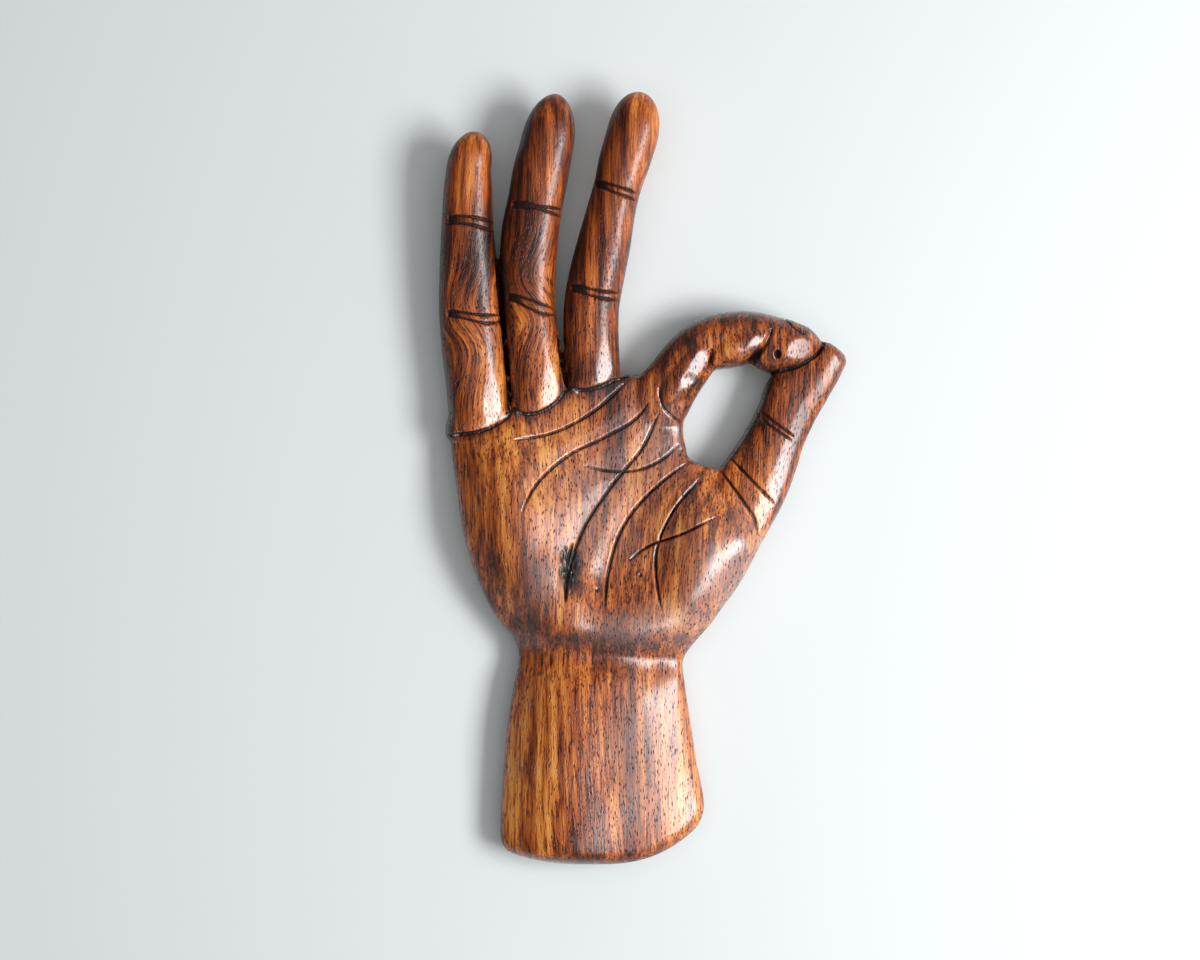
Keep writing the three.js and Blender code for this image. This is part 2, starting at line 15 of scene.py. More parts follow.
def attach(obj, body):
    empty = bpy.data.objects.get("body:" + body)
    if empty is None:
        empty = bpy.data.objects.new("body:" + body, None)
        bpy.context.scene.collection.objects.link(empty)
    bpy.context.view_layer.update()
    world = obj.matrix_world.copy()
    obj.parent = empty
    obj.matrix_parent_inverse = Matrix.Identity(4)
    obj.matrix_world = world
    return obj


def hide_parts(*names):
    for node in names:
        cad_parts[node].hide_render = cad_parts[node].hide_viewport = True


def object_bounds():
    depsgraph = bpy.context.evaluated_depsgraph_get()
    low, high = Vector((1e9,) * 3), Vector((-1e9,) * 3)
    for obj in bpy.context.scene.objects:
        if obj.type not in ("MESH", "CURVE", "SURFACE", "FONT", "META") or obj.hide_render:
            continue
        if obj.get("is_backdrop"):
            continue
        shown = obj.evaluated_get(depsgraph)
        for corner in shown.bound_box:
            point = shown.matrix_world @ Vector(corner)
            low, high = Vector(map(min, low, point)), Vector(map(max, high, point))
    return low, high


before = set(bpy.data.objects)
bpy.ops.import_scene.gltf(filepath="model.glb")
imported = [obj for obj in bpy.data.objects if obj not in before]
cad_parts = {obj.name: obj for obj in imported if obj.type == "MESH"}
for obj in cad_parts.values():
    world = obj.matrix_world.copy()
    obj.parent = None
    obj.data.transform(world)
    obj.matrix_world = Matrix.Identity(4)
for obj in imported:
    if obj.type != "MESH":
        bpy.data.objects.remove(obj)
cad_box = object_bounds()
MM = 0.001
print("construction model:", sorted(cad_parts))
print("its box in mm:", [[round(c / MM, 1) for c in corner] for corner in cad_box])

# %% [markdown]
# ## Roughing out: what a loft is
# A finger is a tube whose width, depth and direction change from station to station. A few stations
# are enough when a smooth curve runs through them, so the first helper turns a short list of stations
# into a long, smooth one. Subdivision of a low cage would do as well, but stations in millimetres can
# be measured straight off the object.


# %% A smooth run through a few stations
STEPS_BETWEEN_STATIONS = 8


def smooth_run(stations, steps=STEPS_BETWEEN_STATIONS):
    """Rows on a smooth curve through the stations, with some steps in each stretch."""
    rows = np.asarray(stations, float)
    gaps = np.linalg.norm(np.diff(rows[:, :2], axis=0), axis=1)
    reach = np.concatenate([[0], np.cumsum(gaps)])
    slopes = np.gradient(rows, reach, axis=0)
    runs = [np.linspace(a, b, steps, endpoint=False) for a, b in zip(reach, reach[1:])]
    at = np.concatenate(runs + [reach[-1:]])
    stretch = np.clip(np.searchsorted(reach, at, side="right") - 1, 0, len(gaps) - 1)
    span = gaps[stretch][:, None]
    t = (at - reach[stretch])[:, None] / span
    first, last = rows[stretch], rows[stretch + 1]
    leave, arrive = slopes[stretch] * span, slopes[stretch + 1] * span
    ease = t * t * (3 - 2 * t)
    return first + (last - first) * ease + leave * t * (1 - t) ** 2 - arrive * t * t * (1 - t)


print("a run through 3 stations has", len(smooth_run([(0, 0), (1, 0), (2, 1)])), "rows")


# %% Rings of points into a closed skin
def signed_power(values, power):
    return np.sign(values) * np.abs(values) ** power


def cap(ring, upper_count):
    """Triangles between the upper and the lower half of an end ring, so a bent end stays upright."""
    upper = list(range(upper_count + 1))
    lower = [0, *range(len(ring) - 1, upper_count - 1, -1)]
    faces = []
    above = below = 0
    while above + 1 < len(upper) or below + 1 < len(lower):
        spans = [np.inf, np.inf]
        if above + 1 < len(upper):
            spans[0] = np.linalg.norm(ring[upper[above + 1]] - ring[lower[below]])
        if below + 1 < len(lower):
            spans[1] = np.linalg.norm(ring[upper[above]] - ring[lower[below + 1]])
        if spans[0] < spans[1]:
            faces.append((upper[above], upper[above + 1], lower[below]))
            above += 1
        else:
            faces.append((upper[above], lower[below + 1], lower[below]))
            below += 1
    return [face for face in faces if len(set(face)) == 3]


def skin(rings, upper_count):
    """Points and faces of a closed tube through rings of equal length, capped at both ends."""
    rings = np.asarray(rings)
    count, sides = rings.shape[:2]
    faces = []
    for low in range(0, (count - 1) * sides, sides):
        for side in range(sides):
            after = (side + 1) % sides
            faces.append((low + side, low + after, low + after + sides, low + side + sides))
    last = (count - 1) * sides
    faces += [(c, b, a) for a, b, c in cap(rings[0], upper_count)]
    faces += [(last + a, last + b, last + c) for a, b, c in cap(rings[-1], upper_count)]
    return rings.reshape(-1, 3), faces


square = np.array([(1, 0, 0), (0, 0, 1), (-1, 0, 0), (0, 0, -1)])
tube = skin([square + (0, y, 0) for y in range(3)], upper_count=2)
print("a tube through 3 square rings has", len(tube[1]), "faces")

# %% [markdown]
# ## The five digits
# Each digit is one loft. A station says where its middle is, in millimetres from the middle of the
# hand, and its half width and half depth. The root and the tip are rounded off by shrinking the last
# ring as it moves out: the two powers say how blunt that end is. A carved finger is a little
# squarer than a circle, so each ring is a superellipse. The thumb is squarer still, and a long flat
# that leans outwards was planed along its top, so its loft also gets that flat's slope and depth.

# %% The stations of the digits
LITTLE_FINGER = dict(
    stations=[
        (-63.4, 27, 10.2, 11.9, 10.2), (-64.3, 38, 10.5, 12.1, 10.1), (-65.4, 48.4, 10.9, 12.2, 10),
        (-66.8, 65.8, 11.6, 12.1, 9.9), (-67.3, 80, 12.8, 11.4, 9.7), (-67.7, 93.7, 14.2, 10.4, 9.4),
        (-67.6, 104, 15.4, 9.8, 9.1), (-67.4, 112, 16.3, 9.4, 8.8), (-67, 121, 17.3, 8.6, 8.3),
    ],
    root=(-66.5, 14, 9.6), root_power=(5, 0.5), tip=(-64.6, 134.8, 18.8), tip_power=(2.2, 0.55),
)
RING_FINGER = dict(
    stations=[
        (-39.9, 34, 10.8, 10.7, 10.4), (-41, 43.7, 11, 10.6, 10.3), (-42.2, 52.6, 11.3, 10.3, 10.2),
        (-43.9, 70.5, 12, 10.3, 10), (-44.2, 84, 13, 11, 9.9), (-43.2, 97, 14.3, 11.2, 9.7),
        (-41.1, 108.8, 15.3, 10.8, 9.5), (-39.2, 119, 16.2, 10.9, 9.3), (-37, 128.5, 17, 10.4, 9),
    ],
    root=(-42, 23, 10), root_power=(5, 0.5), tip=(-32.6, 149.2, 18.5), tip_power=(2.3, 0.56),
)
MIDDLE_FINGER = dict(
    stations=[
        (-18.6, 42, 11.2, 10.3, 10.4), (-19.3, 49.9, 11.4, 10.6, 10.3), (-19.8, 60, 11.8, 10.8, 10.2),
        (-19.5, 68, 12.2, 10.8, 10.1), (-17.6, 79, 13, 10.8, 10), (-14.7, 91.7, 14.2, 10.4, 9.8),
        (-12, 104, 15.3, 9.5, 9.5), (-9.8, 112.5, 16, 9.2, 9.3), (-6.9, 123, 16.9, 9.9, 9.2),
        (-4.1, 132, 17.6, 10.1, 9),
    ],
    root=(-20.5, 32, 10.4), root_power=(5, 0.5), tip=(0.3, 149.7, 18.8), tip_power=(2.5, 0.52),
)
INDEX_FINGER = dict(
    stations=[
        (1.5, 22, 8, 11.5, 7.5), (7.9, 32.5, 10.8, 12.2, 9.4), (11.4, 37.3, 11.6, 11.2, 9.8),
        (14.7, 41.9, 12, 10.8, 10), (18.4, 46.9, 12.3, 10.5, 10), (22.2, 51.1, 12.4, 10, 9.9),
        (29, 53.7, 12.5, 10.9, 10.2), (34.6, 54.7, 12.6, 11, 10.3), (40, 55.4, 12.6, 10.5, 10.1),
        (45.1, 55.4, 12.5, 9.8, 9.8), (51.5, 52.6, 12.4, 11.1, 10.1), (57.4, 52.5, 12.2, 9.9, 9.8),
        (61.8, 52.4, 12, 8.2, 9.2),
    ],
    root=(-3, 14, 7), root_power=(2, 0.5), tip=(70.3, 52.8, 11.5), tip_power=(1.4, 0.75),
)
THUMB = dict(
    stations=[
        (34, -15.6, 10.2, 15.6, 10), (44.5, 0.7, 10.2, 13.8, 10.2), (48.8, 9.2, 10.2, 12.5, 10.1),
        (52.5, 17.6, 10.1, 11.4, 10), (56.2, 25.5, 10.1, 11.2, 9.8), (59.6, 32.9, 10.1, 11.8, 9.7),
        (64.2, 37.5, 10.2, 10.6, 9.6), (69.6, 42.3, 10.3, 8, 9.2), (73, 46.6, 10.3, 6.6, 8.6),
    ],
    root=(26, -25, 9), root_power=(2, 0.5), tip=(76, 51.6, 10.2), tip_power=(4, 0.45),
    squareness=3.2, dome=0.1, flat=(0.37, 0.9),
)
DIGITS = {
    "little finger": LITTLE_FINGER, "ring finger": RING_FINGER, "middle finger": MIDDLE_FINGER,
    "index finger": INDEX_FINGER, "thumb": THUMB,
}
print({name: len(sizes["stations"]) for name, sizes in DIGITS.items()}, "stations")

# %% Loft a digit
DIGIT_SIDES = 48
END_RINGS = 10
END_FILL = 0.997
FINGER_SQUARENESS = 2.3
FLAT_SOFTNESS = 0.6
ROUND_OUT = np.sin(np.linspace(0, np.pi / 2, END_RINGS))


def planed(beside, above, slope, depth):
    """Takes a soft, sloping flat off the top of a ring."""
    reach = above + slope * beside
    over = np.maximum(reach - reach.max() + depth, 0) * (above > 0)
    return above - over**2 / (over + FLAT_SOFTNESS)


def digit(
    stations, root, tip, root_power, tip_power, squareness=FINGER_SQUARENESS, dome=0.0, flat=(0, 0)
):
    """A loft with rounded ends; the dome and the flat shape a squarish top."""
    run = smooth_run(stations)
    along = np.gradient(run[:, :2], axis=0)
    along /= np.linalg.norm(along, axis=1)[:, None]
    across = np.stack([along[:, 1], -along[:, 0]], axis=1)
    turn = np.linspace(0, 2 * np.pi, DIGIT_SIDES, endpoint=False)
    wide = signed_power(np.cos(turn), 2 / squareness)
    high = signed_power(np.sin(turn), 2 / squareness)
    high *= 1 - dome * wide**2 * (np.sin(turn) > 0)

    def ring(row, side, shrink=1.0):
        x, y, z, half_width, half_depth = row
        beside, above = wide * half_width * shrink, high * half_depth * shrink
        return np.column_stack([np.outer(beside, side) + (x, y), z + planed(beside, above, *flat)])

    def rounded_end(row, side, end, power):
        for out in END_FILL * ROUND_OUT[1:]:
            moved = np.array(row)
            moved[:3] += (np.array(end) - row[:3]) * out
            yield ring(moved, side, (1 - out ** power[0]) ** power[1])

    first = list(rounded_end(run[0], across[0], root, root_power))[::-1]
    body = [ring(row, side) for row, side in zip(run, across)]
    last = list(rounded_end(run[-1], across[-1], tip, tip_power))
    return skin(first + body + last, DIGIT_SIDES // 2)


forms = [digit(**sizes) for sizes in DIGITS.values()]
for name, (points, faces) in zip(DIGITS, forms):
    print(name, "spans", np.ptp(points, axis=0).round(1), "mm")

# %% [markdown]
# ## The palm and the wrist
# The palm is a dish with a thick ball of the thumb on one side and a ridge on the other. A sculptor
# would set such a surface by spot heights, as a map maker does, so the top here is a thin sheet bent
# through a few heights. Each cross-section then carries that height on a squarish arch over a flat
# back. Sculpting by hand could do it too, but heights can be read and changed.

# %% Spot heights of the palm, in mm
SPOT_HEIGHTS = [
    (-30, -140, 22.5), (-44, -138, 19), (-52, -132, 15), (-10, -140, 20.5), (5, -136, 18.8),
    (18, -125, 16), (-34, -112, 24), (-44, -112, 21), (-51, -112, 15.5), (-16, -112, 23.2),
    (0, -112, 21.3), (10, -112, 19), (18, -112, 16.4), (-32, -84, 24), (-41, -84, 20.5),
    (-47, -84, 16), (-16, -84, 23.2), (0, -84, 21.1), (12, -84, 17.6), (-20, -74, 23),
    (-40, -74, 19), (4, -74, 19), (-20, -62, 24.5), (-26, -54, 27), (-40, -54, 24.5),
    (-4, -57, 26.3), (8, -58, 25), (16, -58, 23.4), (-51, -54, 17), (24, -58, 21), (-45, -42, 27),
    (-61, -38, 19), (-47, -28, 28), (-64, -28, 20.5), (-49, -8, 27), (-67, -8, 20.5), (-51, 8, 23),
    (-71, 8, 16.5), (-40, -25, 26), (-32, -25, 23.5), (-22, -25, 20.6), (-12, -25, 18.6),
    (-40, -8, 25), (-30, -8, 22.2), (-20, -8, 19.4), (-10, -8, 17.3), (0, -8, 16.8), (-40, 5, 21.6),
    (-30, 4, 19.5), (-20, 4, 17.4), (-8, 6, 16.2), (-62, 14, 18.5), (-39, 21, 16.5),
    (-16, 31, 16.5), (-1, 35, 16.5), (20, -30, 29.8), (20, -14, 27.5), (18, -45, 28.4),
    (30, -30, 29.1), (37, -28, 28.2), (43, -23, 26.8), (25, -45, 27.4), (30, -45, 26.3),
    (36, -38, 26), (30, -18, 27.8), (36, -17, 26.8), (36, -7, 21.8), (6, -31, 23), (8, 14, 16),
    (4, 2, 17), (-4, -22, 18.2), (18, 8, 16.5), (26, 2, 18), (8, -45, 26), (-6, -45, 22.8),
    (-16, -38, 20.5),
]
print(len(SPOT_HEIGHTS), "spot heights")

# %% A thin sheet bent through the spots
WRIST_CREASE_Y = -68.5
CREASE_DEPTH = 3.6
CREASE_REACH = 6.5


def bent_sheet(spots):
    """A function that gives the height of a thin sheet bent through the spots."""
    spots = np.asarray(spots, float)

    def bend(apart):
        return np.where(apart > 0, apart**2 * np.log(np.maximum(apart, 1e-9)), 0)

    count = len(spots)
    plane = np.column_stack([np.ones(count), spots[:, :2]])
    grid = np.zeros((count + 3, count + 3))
    grid[:count, :count] = bend(np.linalg.norm(spots[:, None, :2] - spots[None, :, :2], axis=2))
    grid[:count, count:] = plane
    grid[count:, :count] = plane.T
    weights = np.linalg.solve(grid, np.concatenate([spots[:, 2], np.zeros(3)]))

    def height(x, y):
        apart = np.hypot(x[..., None] - spots[:, 0], y[..., None] - spots[:, 1])
        return bend(apart) @ weights[:count] + weights[count] + weights[-2] * x + weights[-1] * y

    return height


sheet_height = bent_sheet(SPOT_HEIGHTS)


def palm_height(x, y):
    crease = CREASE_DEPTH * np.exp(-(((y - WRIST_CREASE_Y) / CREASE_REACH) ** 2))
    return sheet_height(x, y) - crease


for spot in ((-16, -100), (-16, WRIST_CREASE_Y), (-16, -15), (16, -31)):
    print("height at", spot, "is", palm_height(*np.array(spot, float)).round(1), "mm")

# %% The outline of the palm and the wrist
WRIST_END_Y = -149.9
WRIST_END_BEVEL = 7
WRIST_END_START = -110
WRIST_END_FALL = ((6.2, 3.0), (16.4, 2.5))
KNUCKLE_LINE = [
    (-80, 11), (-75, 13.5), (-63, 18.5), (-51, 26), (-37, 28.5), (-28.5, 35), (-16, 37), (-3, 38.5),
    (5, 36), (14, 29), (24, 22), (40, 15),
]
# Each row of the next three lists: how far along it is, as a share of the way or in mm, the left and
# the right edge, and the height at which the hand is widest there.
WRIST_END = [
    (1, -55.2, 24.4, 8), (0.8, -55.1, 24.1, 8), (0.5, -54.6, 23.3, 8.5), (0, -53.6, 21.4, 9),
]
OUTLINE = [
    (-110, -53.6, 21.4, 9), (-96, -52.4, 19.4, 9), (-80, -49.9, 17, 9), (-69, -47.9, 16.6, 9),
    (-62.5, -49.2, 21.2, 9.5), (-56.6, -54, 26.3, 10), (-50.7, -58.3, 30.5, 10.5),
    (-38.9, -63.8, 38.7, 11), (-31.2, -66.5, 42.9, 11), (-23.4, -68.8, 46.2, 11), (-17, -70.2, 44, 10.5),
    (-7.8, -71.5, 38.3, 10), (0, -72.6, 32.8, 10),
]
KNUCKLE_END = [
    (0, -72.6, 32.8, 10), (0.14, -72.9, 31.6, 9.5), (0.22, -73.1, 28, 9.5), (0.28, -73.2, 21.8, 9.5),
    (0.5, -73.7, 17.3, 9), (0.7, -74, 16.2, 9), (0.9, -74.3, 16.3, 9), (1, -74.5, 15, 9),
]
print(len(WRIST_END + OUTLINE + KNUCKLE_END), "rows of edges")

# %% One cross-section of the palm
TOP_SQUARENESS = 5
BACK_SQUARENESS = 3.5
BACK_PLANED_OFF = 1.2
BACK_END_ROUNDING = 0.4
ACROSS_TOP, TOP_CORNERS = 80, 40
ACROSS_BACK, BACK_CORNERS = 20, 24


def arch_turns(square, across, corners):
    """Angles over half a squarish round: even across its flat middle, and even at its corners."""
    flat = np.arccos(signed_power(np.linspace(1, -1, across, endpoint=False), square / 2))
    bent = np.linspace(0, np.pi, corners, endpoint=False)
    return np.unique(np.concatenate([flat, bent]).round(3))


TOP_TURNS = arch_turns(TOP_SQUARENESS, ACROSS_TOP, TOP_CORNERS)
BACK_TURNS = np.pi + arch_turns(BACK_SQUARENESS, ACROSS_BACK, BACK_CORNERS)
PALM_TURNS = np.concatenate([TOP_TURNS, BACK_TURNS])


def palm_section(left, right, widest, place_y, rise=1.0):
    """One ring of the palm: an arch under the spot heights, over a flat back."""
    turn = PALM_TURNS
    top = np.arange(len(turn)) < len(TOP_TURNS)
    square = np.where(top, TOP_SQUARENESS, BACK_SQUARENESS)
    share = signed_power(np.cos(turn), 2 / square)
    x = (left + right) / 2 + share * (right - left) / 2
    y = place_y(x)
    left_over = np.where(top, rise, 1 - BACK_END_ROUNDING * (1 - rise))
    arch = np.abs(np.sin(turn)) ** (2 / square) * left_over
    crown = palm_height(x, y)
    back = np.maximum(widest - (widest + BACK_PLANED_OFF) * arch, 0)
    return np.column_stack([x, y, np.where(top, widest + (crown - widest) * arch, back)])


print("a ring of the palm has", len(PALM_TURNS), "points")


# %% The two ends of the palm and wrist
WRIST_MIDDLE_X, WRIST_HALF_WIDTH = -16, 40


def wrist_end(x):
    """The rounded lower edge, which runs up further on the thumb side."""
    share = (x - WRIST_MIDDLE_X) / WRIST_HALF_WIDTH
    (low, low_power), (high, high_power) = WRIST_END_FALL
    fall = np.where(share < 0, low * np.abs(share) ** low_power, high * np.abs(share) ** high_power)
    return WRIST_END_Y + fall


def knuckle_line(x):
    return np.interp(x, *np.transpose(KNUCKLE_LINE))


print("the wrist ends at", wrist_end(np.array([-50.0, -16.0, 20.0])).round(1), "mm")


# %% Loft the palm and the wrist
WRIST_INSET, WRIST_FILL, WRIST_BLUNTNESS = 3, 0.99, 2.5
KNUCKLE_INSET, KNUCKLE_FILL, KNUCKLE_ROUNDING = 2, 0.95, 3


def rows_of(table):
    """A smooth run through rows that start with how far along they are."""
    return [(row[0], *row[2:]) for row in smooth_run([(first, 0, *rest) for first, *rest in table])]


def wrist_rings():
    """Rings from the rounded lower end up to where the edges run straight."""

    def row(share, out=0.0):
        bevel = WRIST_END_BEVEL * (1 - out)
        return lambda x: WRIST_END_START + (wrist_end(x) + bevel - WRIST_END_START) * share

    rows = rows_of(WRIST_END)
    _, left, right, widest = rows[0]
    for out in ROUND_OUT[:0:-1]:
        inset = WRIST_INSET * out**3
        rise = (1 - (WRIST_FILL * out) ** WRIST_BLUNTNESS) ** 0.5
        yield palm_section(left + inset, right - inset, widest, row(1, out), rise)
    for share, left, right, widest in rows[:-1]:
        yield palm_section(left, right, widest, row(share))


def palm_rings():
    for y, left, right, widest in rows_of(OUTLINE):
        yield palm_section(left, right, widest, lambda x: np.full_like(x, y))


def knuckle_rings():
    """Rings that bend to the line of the knuckles and round off over it."""
    rows = rows_of(KNUCKLE_END)
    for share, left, right, widest in rows[1:]:
        yield palm_section(left, right, widest, lambda x: share * knuckle_line(x))
    _, left, right, widest = rows[-1]
    for out in ROUND_OUT[1:]:
        inset = KNUCKLE_INSET * out
        rise = np.sqrt(1 - (KNUCKLE_FILL * out) ** 2)
        over = KNUCKLE_ROUNDING * out
        yield palm_section(left + inset, right - inset, widest, lambda x: knuckle_line(x) + over, rise)


forms.append(skin([*wrist_rings(), *palm_rings(), *knuckle_rings()], len(TOP_TURNS)))
print("palm and wrist span", np.ptp(forms[-1][0], axis=0).round(1), "mm")

# %% [markdown]
# ## One block of wood
# The hand was carved from one plank, so the forms must flow into one another. A boolean union keeps
# hard seams where two lofts meet. A voxel remesh fuses everything that overlaps into one even skin,
# and a smoothing after it rounds the inner corners the way sandpaper does.

# %% Fuse and sand the forms
VOXEL = 0.7
SANDING_PASSES = 8
SANDING_SHARE = 0.5


def mesh_from(points, faces, name):
    mesh = bpy.data.meshes.new(name)
    mesh.from_pydata([tuple(p) for p in points], [], faces)
    mesh.update()
    return mesh


def fused(parts):
    offset = 0
    points, faces = [], []
    for part_points, part_faces in parts:
        points.append(part_points)
        faces.extend(tuple(i + offset for i in face) for face in part_faces)
        offset += len(part_points)
    blank = bpy.data.objects.new("blank", mesh_from(np.concatenate(points), faces, "blank"))
    bpy.context.scene.collection.objects.link(blank)
    fuse = blank.modifiers.new("fuse", "REMESH")
    fuse.mode = "VOXEL"
    fuse.voxel_size = VOXEL
    sand = blank.modifiers.new("sand", "SMOOTH")
    sand.factor = SANDING_SHARE
    sand.iterations = SANDING_PASSES
    bpy.context.view_layer.update()
    graph = bpy.context.evaluated_depsgraph_get()
    mesh = bpy.data.meshes.new_from_object(blank.evaluated_get(graph))
    bpy.data.objects.remove(blank)
    return mesh


def spots_of(mesh, what="co"):
    """The places of a mesh's points, or their normals, as rows."""
    values = np.empty(len(mesh.vertices) * 3)
    mesh.vertices.foreach_get(what, values)
    return values.reshape(-1, 3)


hand = fused(forms)
print("fused skin:", len(hand.vertices), "points, spans", np.ptp(spots_of(hand), axis=0).round(1), "mm")

# %% [markdown]
# ## The carved lines
# The palm lines, the finger creases and the cuts at the finger roots are grooves cut with a knife. Each
# is a curve in plan with a depth and a half width at its two ends. Where a groove passes, the skin is
# divided finer, and then its points are pushed in along their normals. Booleans with bent knives would
# work, but they leave slivers, and a pushed skin stays one clean mesh.

# %% The curves of the cuts, in mm
PALM_LINES = [
    [(-50.5, 15.4), (-34.3, 18.5), (-18.2, 26.9), (-5.9, 38.1)],
    [(-46.2, -12.7), (-40.9, -2.3), (-28.9, 9.2), (-13.6, 16.9), (-1.3, 24.6), (2.6, 30.4)],
    [(6.8, 26.5), (1.8, 15), (-11.6, -2.3), (-23.6, -21.9), (-28.9, -41.1), (-29.3, -47.3)],
    [(-23.2, 5.8), (-12.8, 3.5), (-1.6, 3.8), (9.9, 9.6), (14.5, 13.9)],
    [(17.6, 6.9), (6.4, -1.5), (-5.5, -15), (-13.2, -36.5), (-14.3, -51.1)],
    [(22.5, 0.8), (11.7, -11.1), (4.8, -28.4), (5.2, -40.3), (7.5, -50.6)],
    [(-5.9, -31.7), (1.7, -25.6), (13.5, -21), (28.4, -14.1)],
]
THUMB_LINES = [
    [(30, 3.8), (39.6, -9.2), (43.8, -15.7), (45.3, -21.8)],
    [(33.7, 8.8), (45.9, -3.8), (51.3, -9.2)],
]
ROOT_LINES = [
    [(-75, 17.4), (-63.5, 18.6), (-57.6, 20.6), (-52.6, 24), (-50.5, 26.5)],
    [(-49.7, 27.7), (-46.6, 25.9), (-37, 27.4), (-33.4, 30), (-28.9, 35.4)],
    [(-27.8, 35.9), (-23.6, 34.8), (-15.9, 36.2), (-10.5, 38.6), (-5.1, 40.2)],
    [(6.4, 36.1), (7.2, 30.7), (8.7, 27.3), (12.2, 24.2), (15.6, 21.9)],
]
CREASE_PAIRS = [
    [[(-75, 101.6), (-65.6, 101), (-57, 99.6)], [(-75, 99), (-65.6, 98), (-57, 96)]],
    [
        [(-75.4, 65.5), (-59.9, 63.6), (-54, 64)],
        [(-75.4, 63.8), (-66.8, 61.8), (-59.9, 60.4), (-54, 61.4)],
    ],
    [[(-50, 107.4), (-40.9, 105.2), (-30.5, 104.4)], [(-50, 106), (-39.3, 104), (-31, 101.5)]],
    [[(-52.2, 72), (-43.4, 69.4), (-33.6, 66.2)], [(-52.2, 70.4), (-44.3, 66.5), (-38, 64), (-33, 64)]],
    [[(-18, 115), (-9.8, 112.6), (-1.5, 110)], [(-18, 113.4), (-11, 110.4), (-1.9, 107.4)]],
    [[(-27.6, 75.5), (-17.2, 72.9), (-8.6, 72)], [(-27.6, 74), (-18.5, 70.6), (-8.6, 69)]],
    [[(45.9, 26.6), (50.4, 22.8), (58.8, 16.8)], [(45.9, 23.6), (50.4, 20.2), (57.8, 15.4)]],
]
CONTACT_LINE = [(46.5, 39.9), (53.8, 42.3), (59.2, 43.6), (64, 45.9), (67.8, 49), (72, 56)]
NOTCHES = [
    [(26.9, 50.8), (26.6, 46.2), (26, 41)],
    [(50, 58.4), (47.6, 53), (43.6, 47.6), (41.4, 44)],
]
FINGER_GAPS = [
    [(-56, 88), (-54.6, 69.4), (-53.2, 54), (-51.8, 38.6), (-50.8, 28)],
    [(-31.9, 60), (-31.4, 50), (-30.4, 43), (-29, 35.5)],
]
CRACK = [(-26.5, -24), (-28, -31), (-28.6, -38), (-29.6, -47.5)]

print(len(PALM_LINES), "palm lines,", len(CREASE_PAIRS), "pairs of creases")


# %% The knife cuts
def cut(points, depth, width, taper=6, side="top", soft=0.0, reach=4.5):
    """A groove: its curve, its depth and half width at both ends, and the soft dip beside it."""
    depth, width = (np.broadcast_to(np.asarray(size, float), 2) for size in (depth, width))
    line = smooth_run(points)
    return dict(line=line, depth=depth, width=width, taper=taper, side=side, soft=soft, reach=reach)


CREASES = [line for pair in CREASE_PAIRS for line in pair]
KNIFE_WORK = [
    (PALM_LINES, dict(depth=1.2, width=0.8, taper=9, soft=0.8)),
    (THUMB_LINES, dict(depth=1.2, width=0.75, soft=0.3)),
    (ROOT_LINES, dict(depth=0.9, width=0.75, taper=3)),
    (CREASES, dict(depth=(1.2, 1.1), width=(0.8, 0.7), taper=3)),
    (FINGER_GAPS, dict(depth=(4.5, 3.4), width=(1.3, 0.75), taper=3)),
    ([CONTACT_LINE], dict(depth=1.3, width=0.9, taper=1)),
    ([CRACK], dict(depth=1.6, width=0.9, taper=4)),
]
cuts = [cut(line, **sizes) for lines, sizes in KNIFE_WORK for line in lines]
print(len(cuts), "knife cuts")

# %% [markdown]
# ## Nails
# The palm faces up, so the nails are on the underside of the fingers, where only a low view sees them.
# A carver marks a nail with one bent stop cut. On the index finger, which is bent over, the nail is on
# the outer side of the tip.

# %% Mark the nails
NAIL_STEPS = 12
NAIL_ARMS = 0.9
NAIL_CUT = dict(depth=0.8, width=0.7, taper=2)
NAILS = [
    ((-65.6, 126), (0.12, 1), 5.2, 9), ((-35, 137), (0.3, 1), 6, 11), ((-2.6, 138), (0.3, 1), 6, 11),
    ((69.5, 44), (0.7, 0.7), 6, 10),
]
INDEX_NAIL = ((60, 15), (1, 0), 5, 9)


def nail(middle, direction, half_width, length, side="under"):
    """A cut in the shape of a U, open towards the tip."""
    turn = np.linspace(-0.5 * np.pi, 0.5 * np.pi, NAIL_STEPS)
    ahead = np.asarray(direction, float) / np.hypot(*direction)
    beside = np.array([-ahead[1], ahead[0]])
    across = np.concatenate([[-1], np.sin(turn), [1]])
    back = np.concatenate([[-NAIL_ARMS], np.cos(turn), [-NAIL_ARMS]])
    line = np.asarray(middle) + np.outer(across, beside) * half_width - np.outer(back, ahead) * length / 2
    return cut(line, side=side, **NAIL_CUT)


cuts += [nail(*sizes) for sizes in NAILS] + [nail(*INDEX_NAIL, side="outer")]
print(len(cuts), "cuts with the nails")

# %% How deep each cut is at a place
FACING = 0.05
SIDES = {"top": ([0, 1], 2, 1), "under": ([0, 1], 2, -1), "outer": ([0, 2], 1, 1)}
OUTER_FROM_Y = 56
END_WIDTH = 0.4
DIP_MARGIN = 3


def along_line(spots, line):
    """Distance to a line, the share of the line where it is nearest, and the side it is on."""
    nearest = np.full(len(spots), np.inf)
    share, left = np.zeros(len(spots)), np.zeros(len(spots), bool)
    lengths = np.linalg.norm(np.diff(line, axis=0), axis=1)
    starts = np.concatenate([[0], np.cumsum(lengths)])
    for first, step, length, start in zip(line, np.diff(line, axis=0), lengths, starts):
        offset = spots - first
        part = np.clip(offset @ step / length**2, 0, 1)
        gap = np.linalg.norm(offset - part[:, None] * step, axis=1)
        closer = gap < nearest
        nearest[closer] = gap[closer]
        share[closer] = (start + part[closer] * length) / starts[-1]
        left[closer] = (step[0] * offset[:, 1] - step[1] * offset[:, 0] > 0)[closer]
    return nearest, share, left, starts[-1]


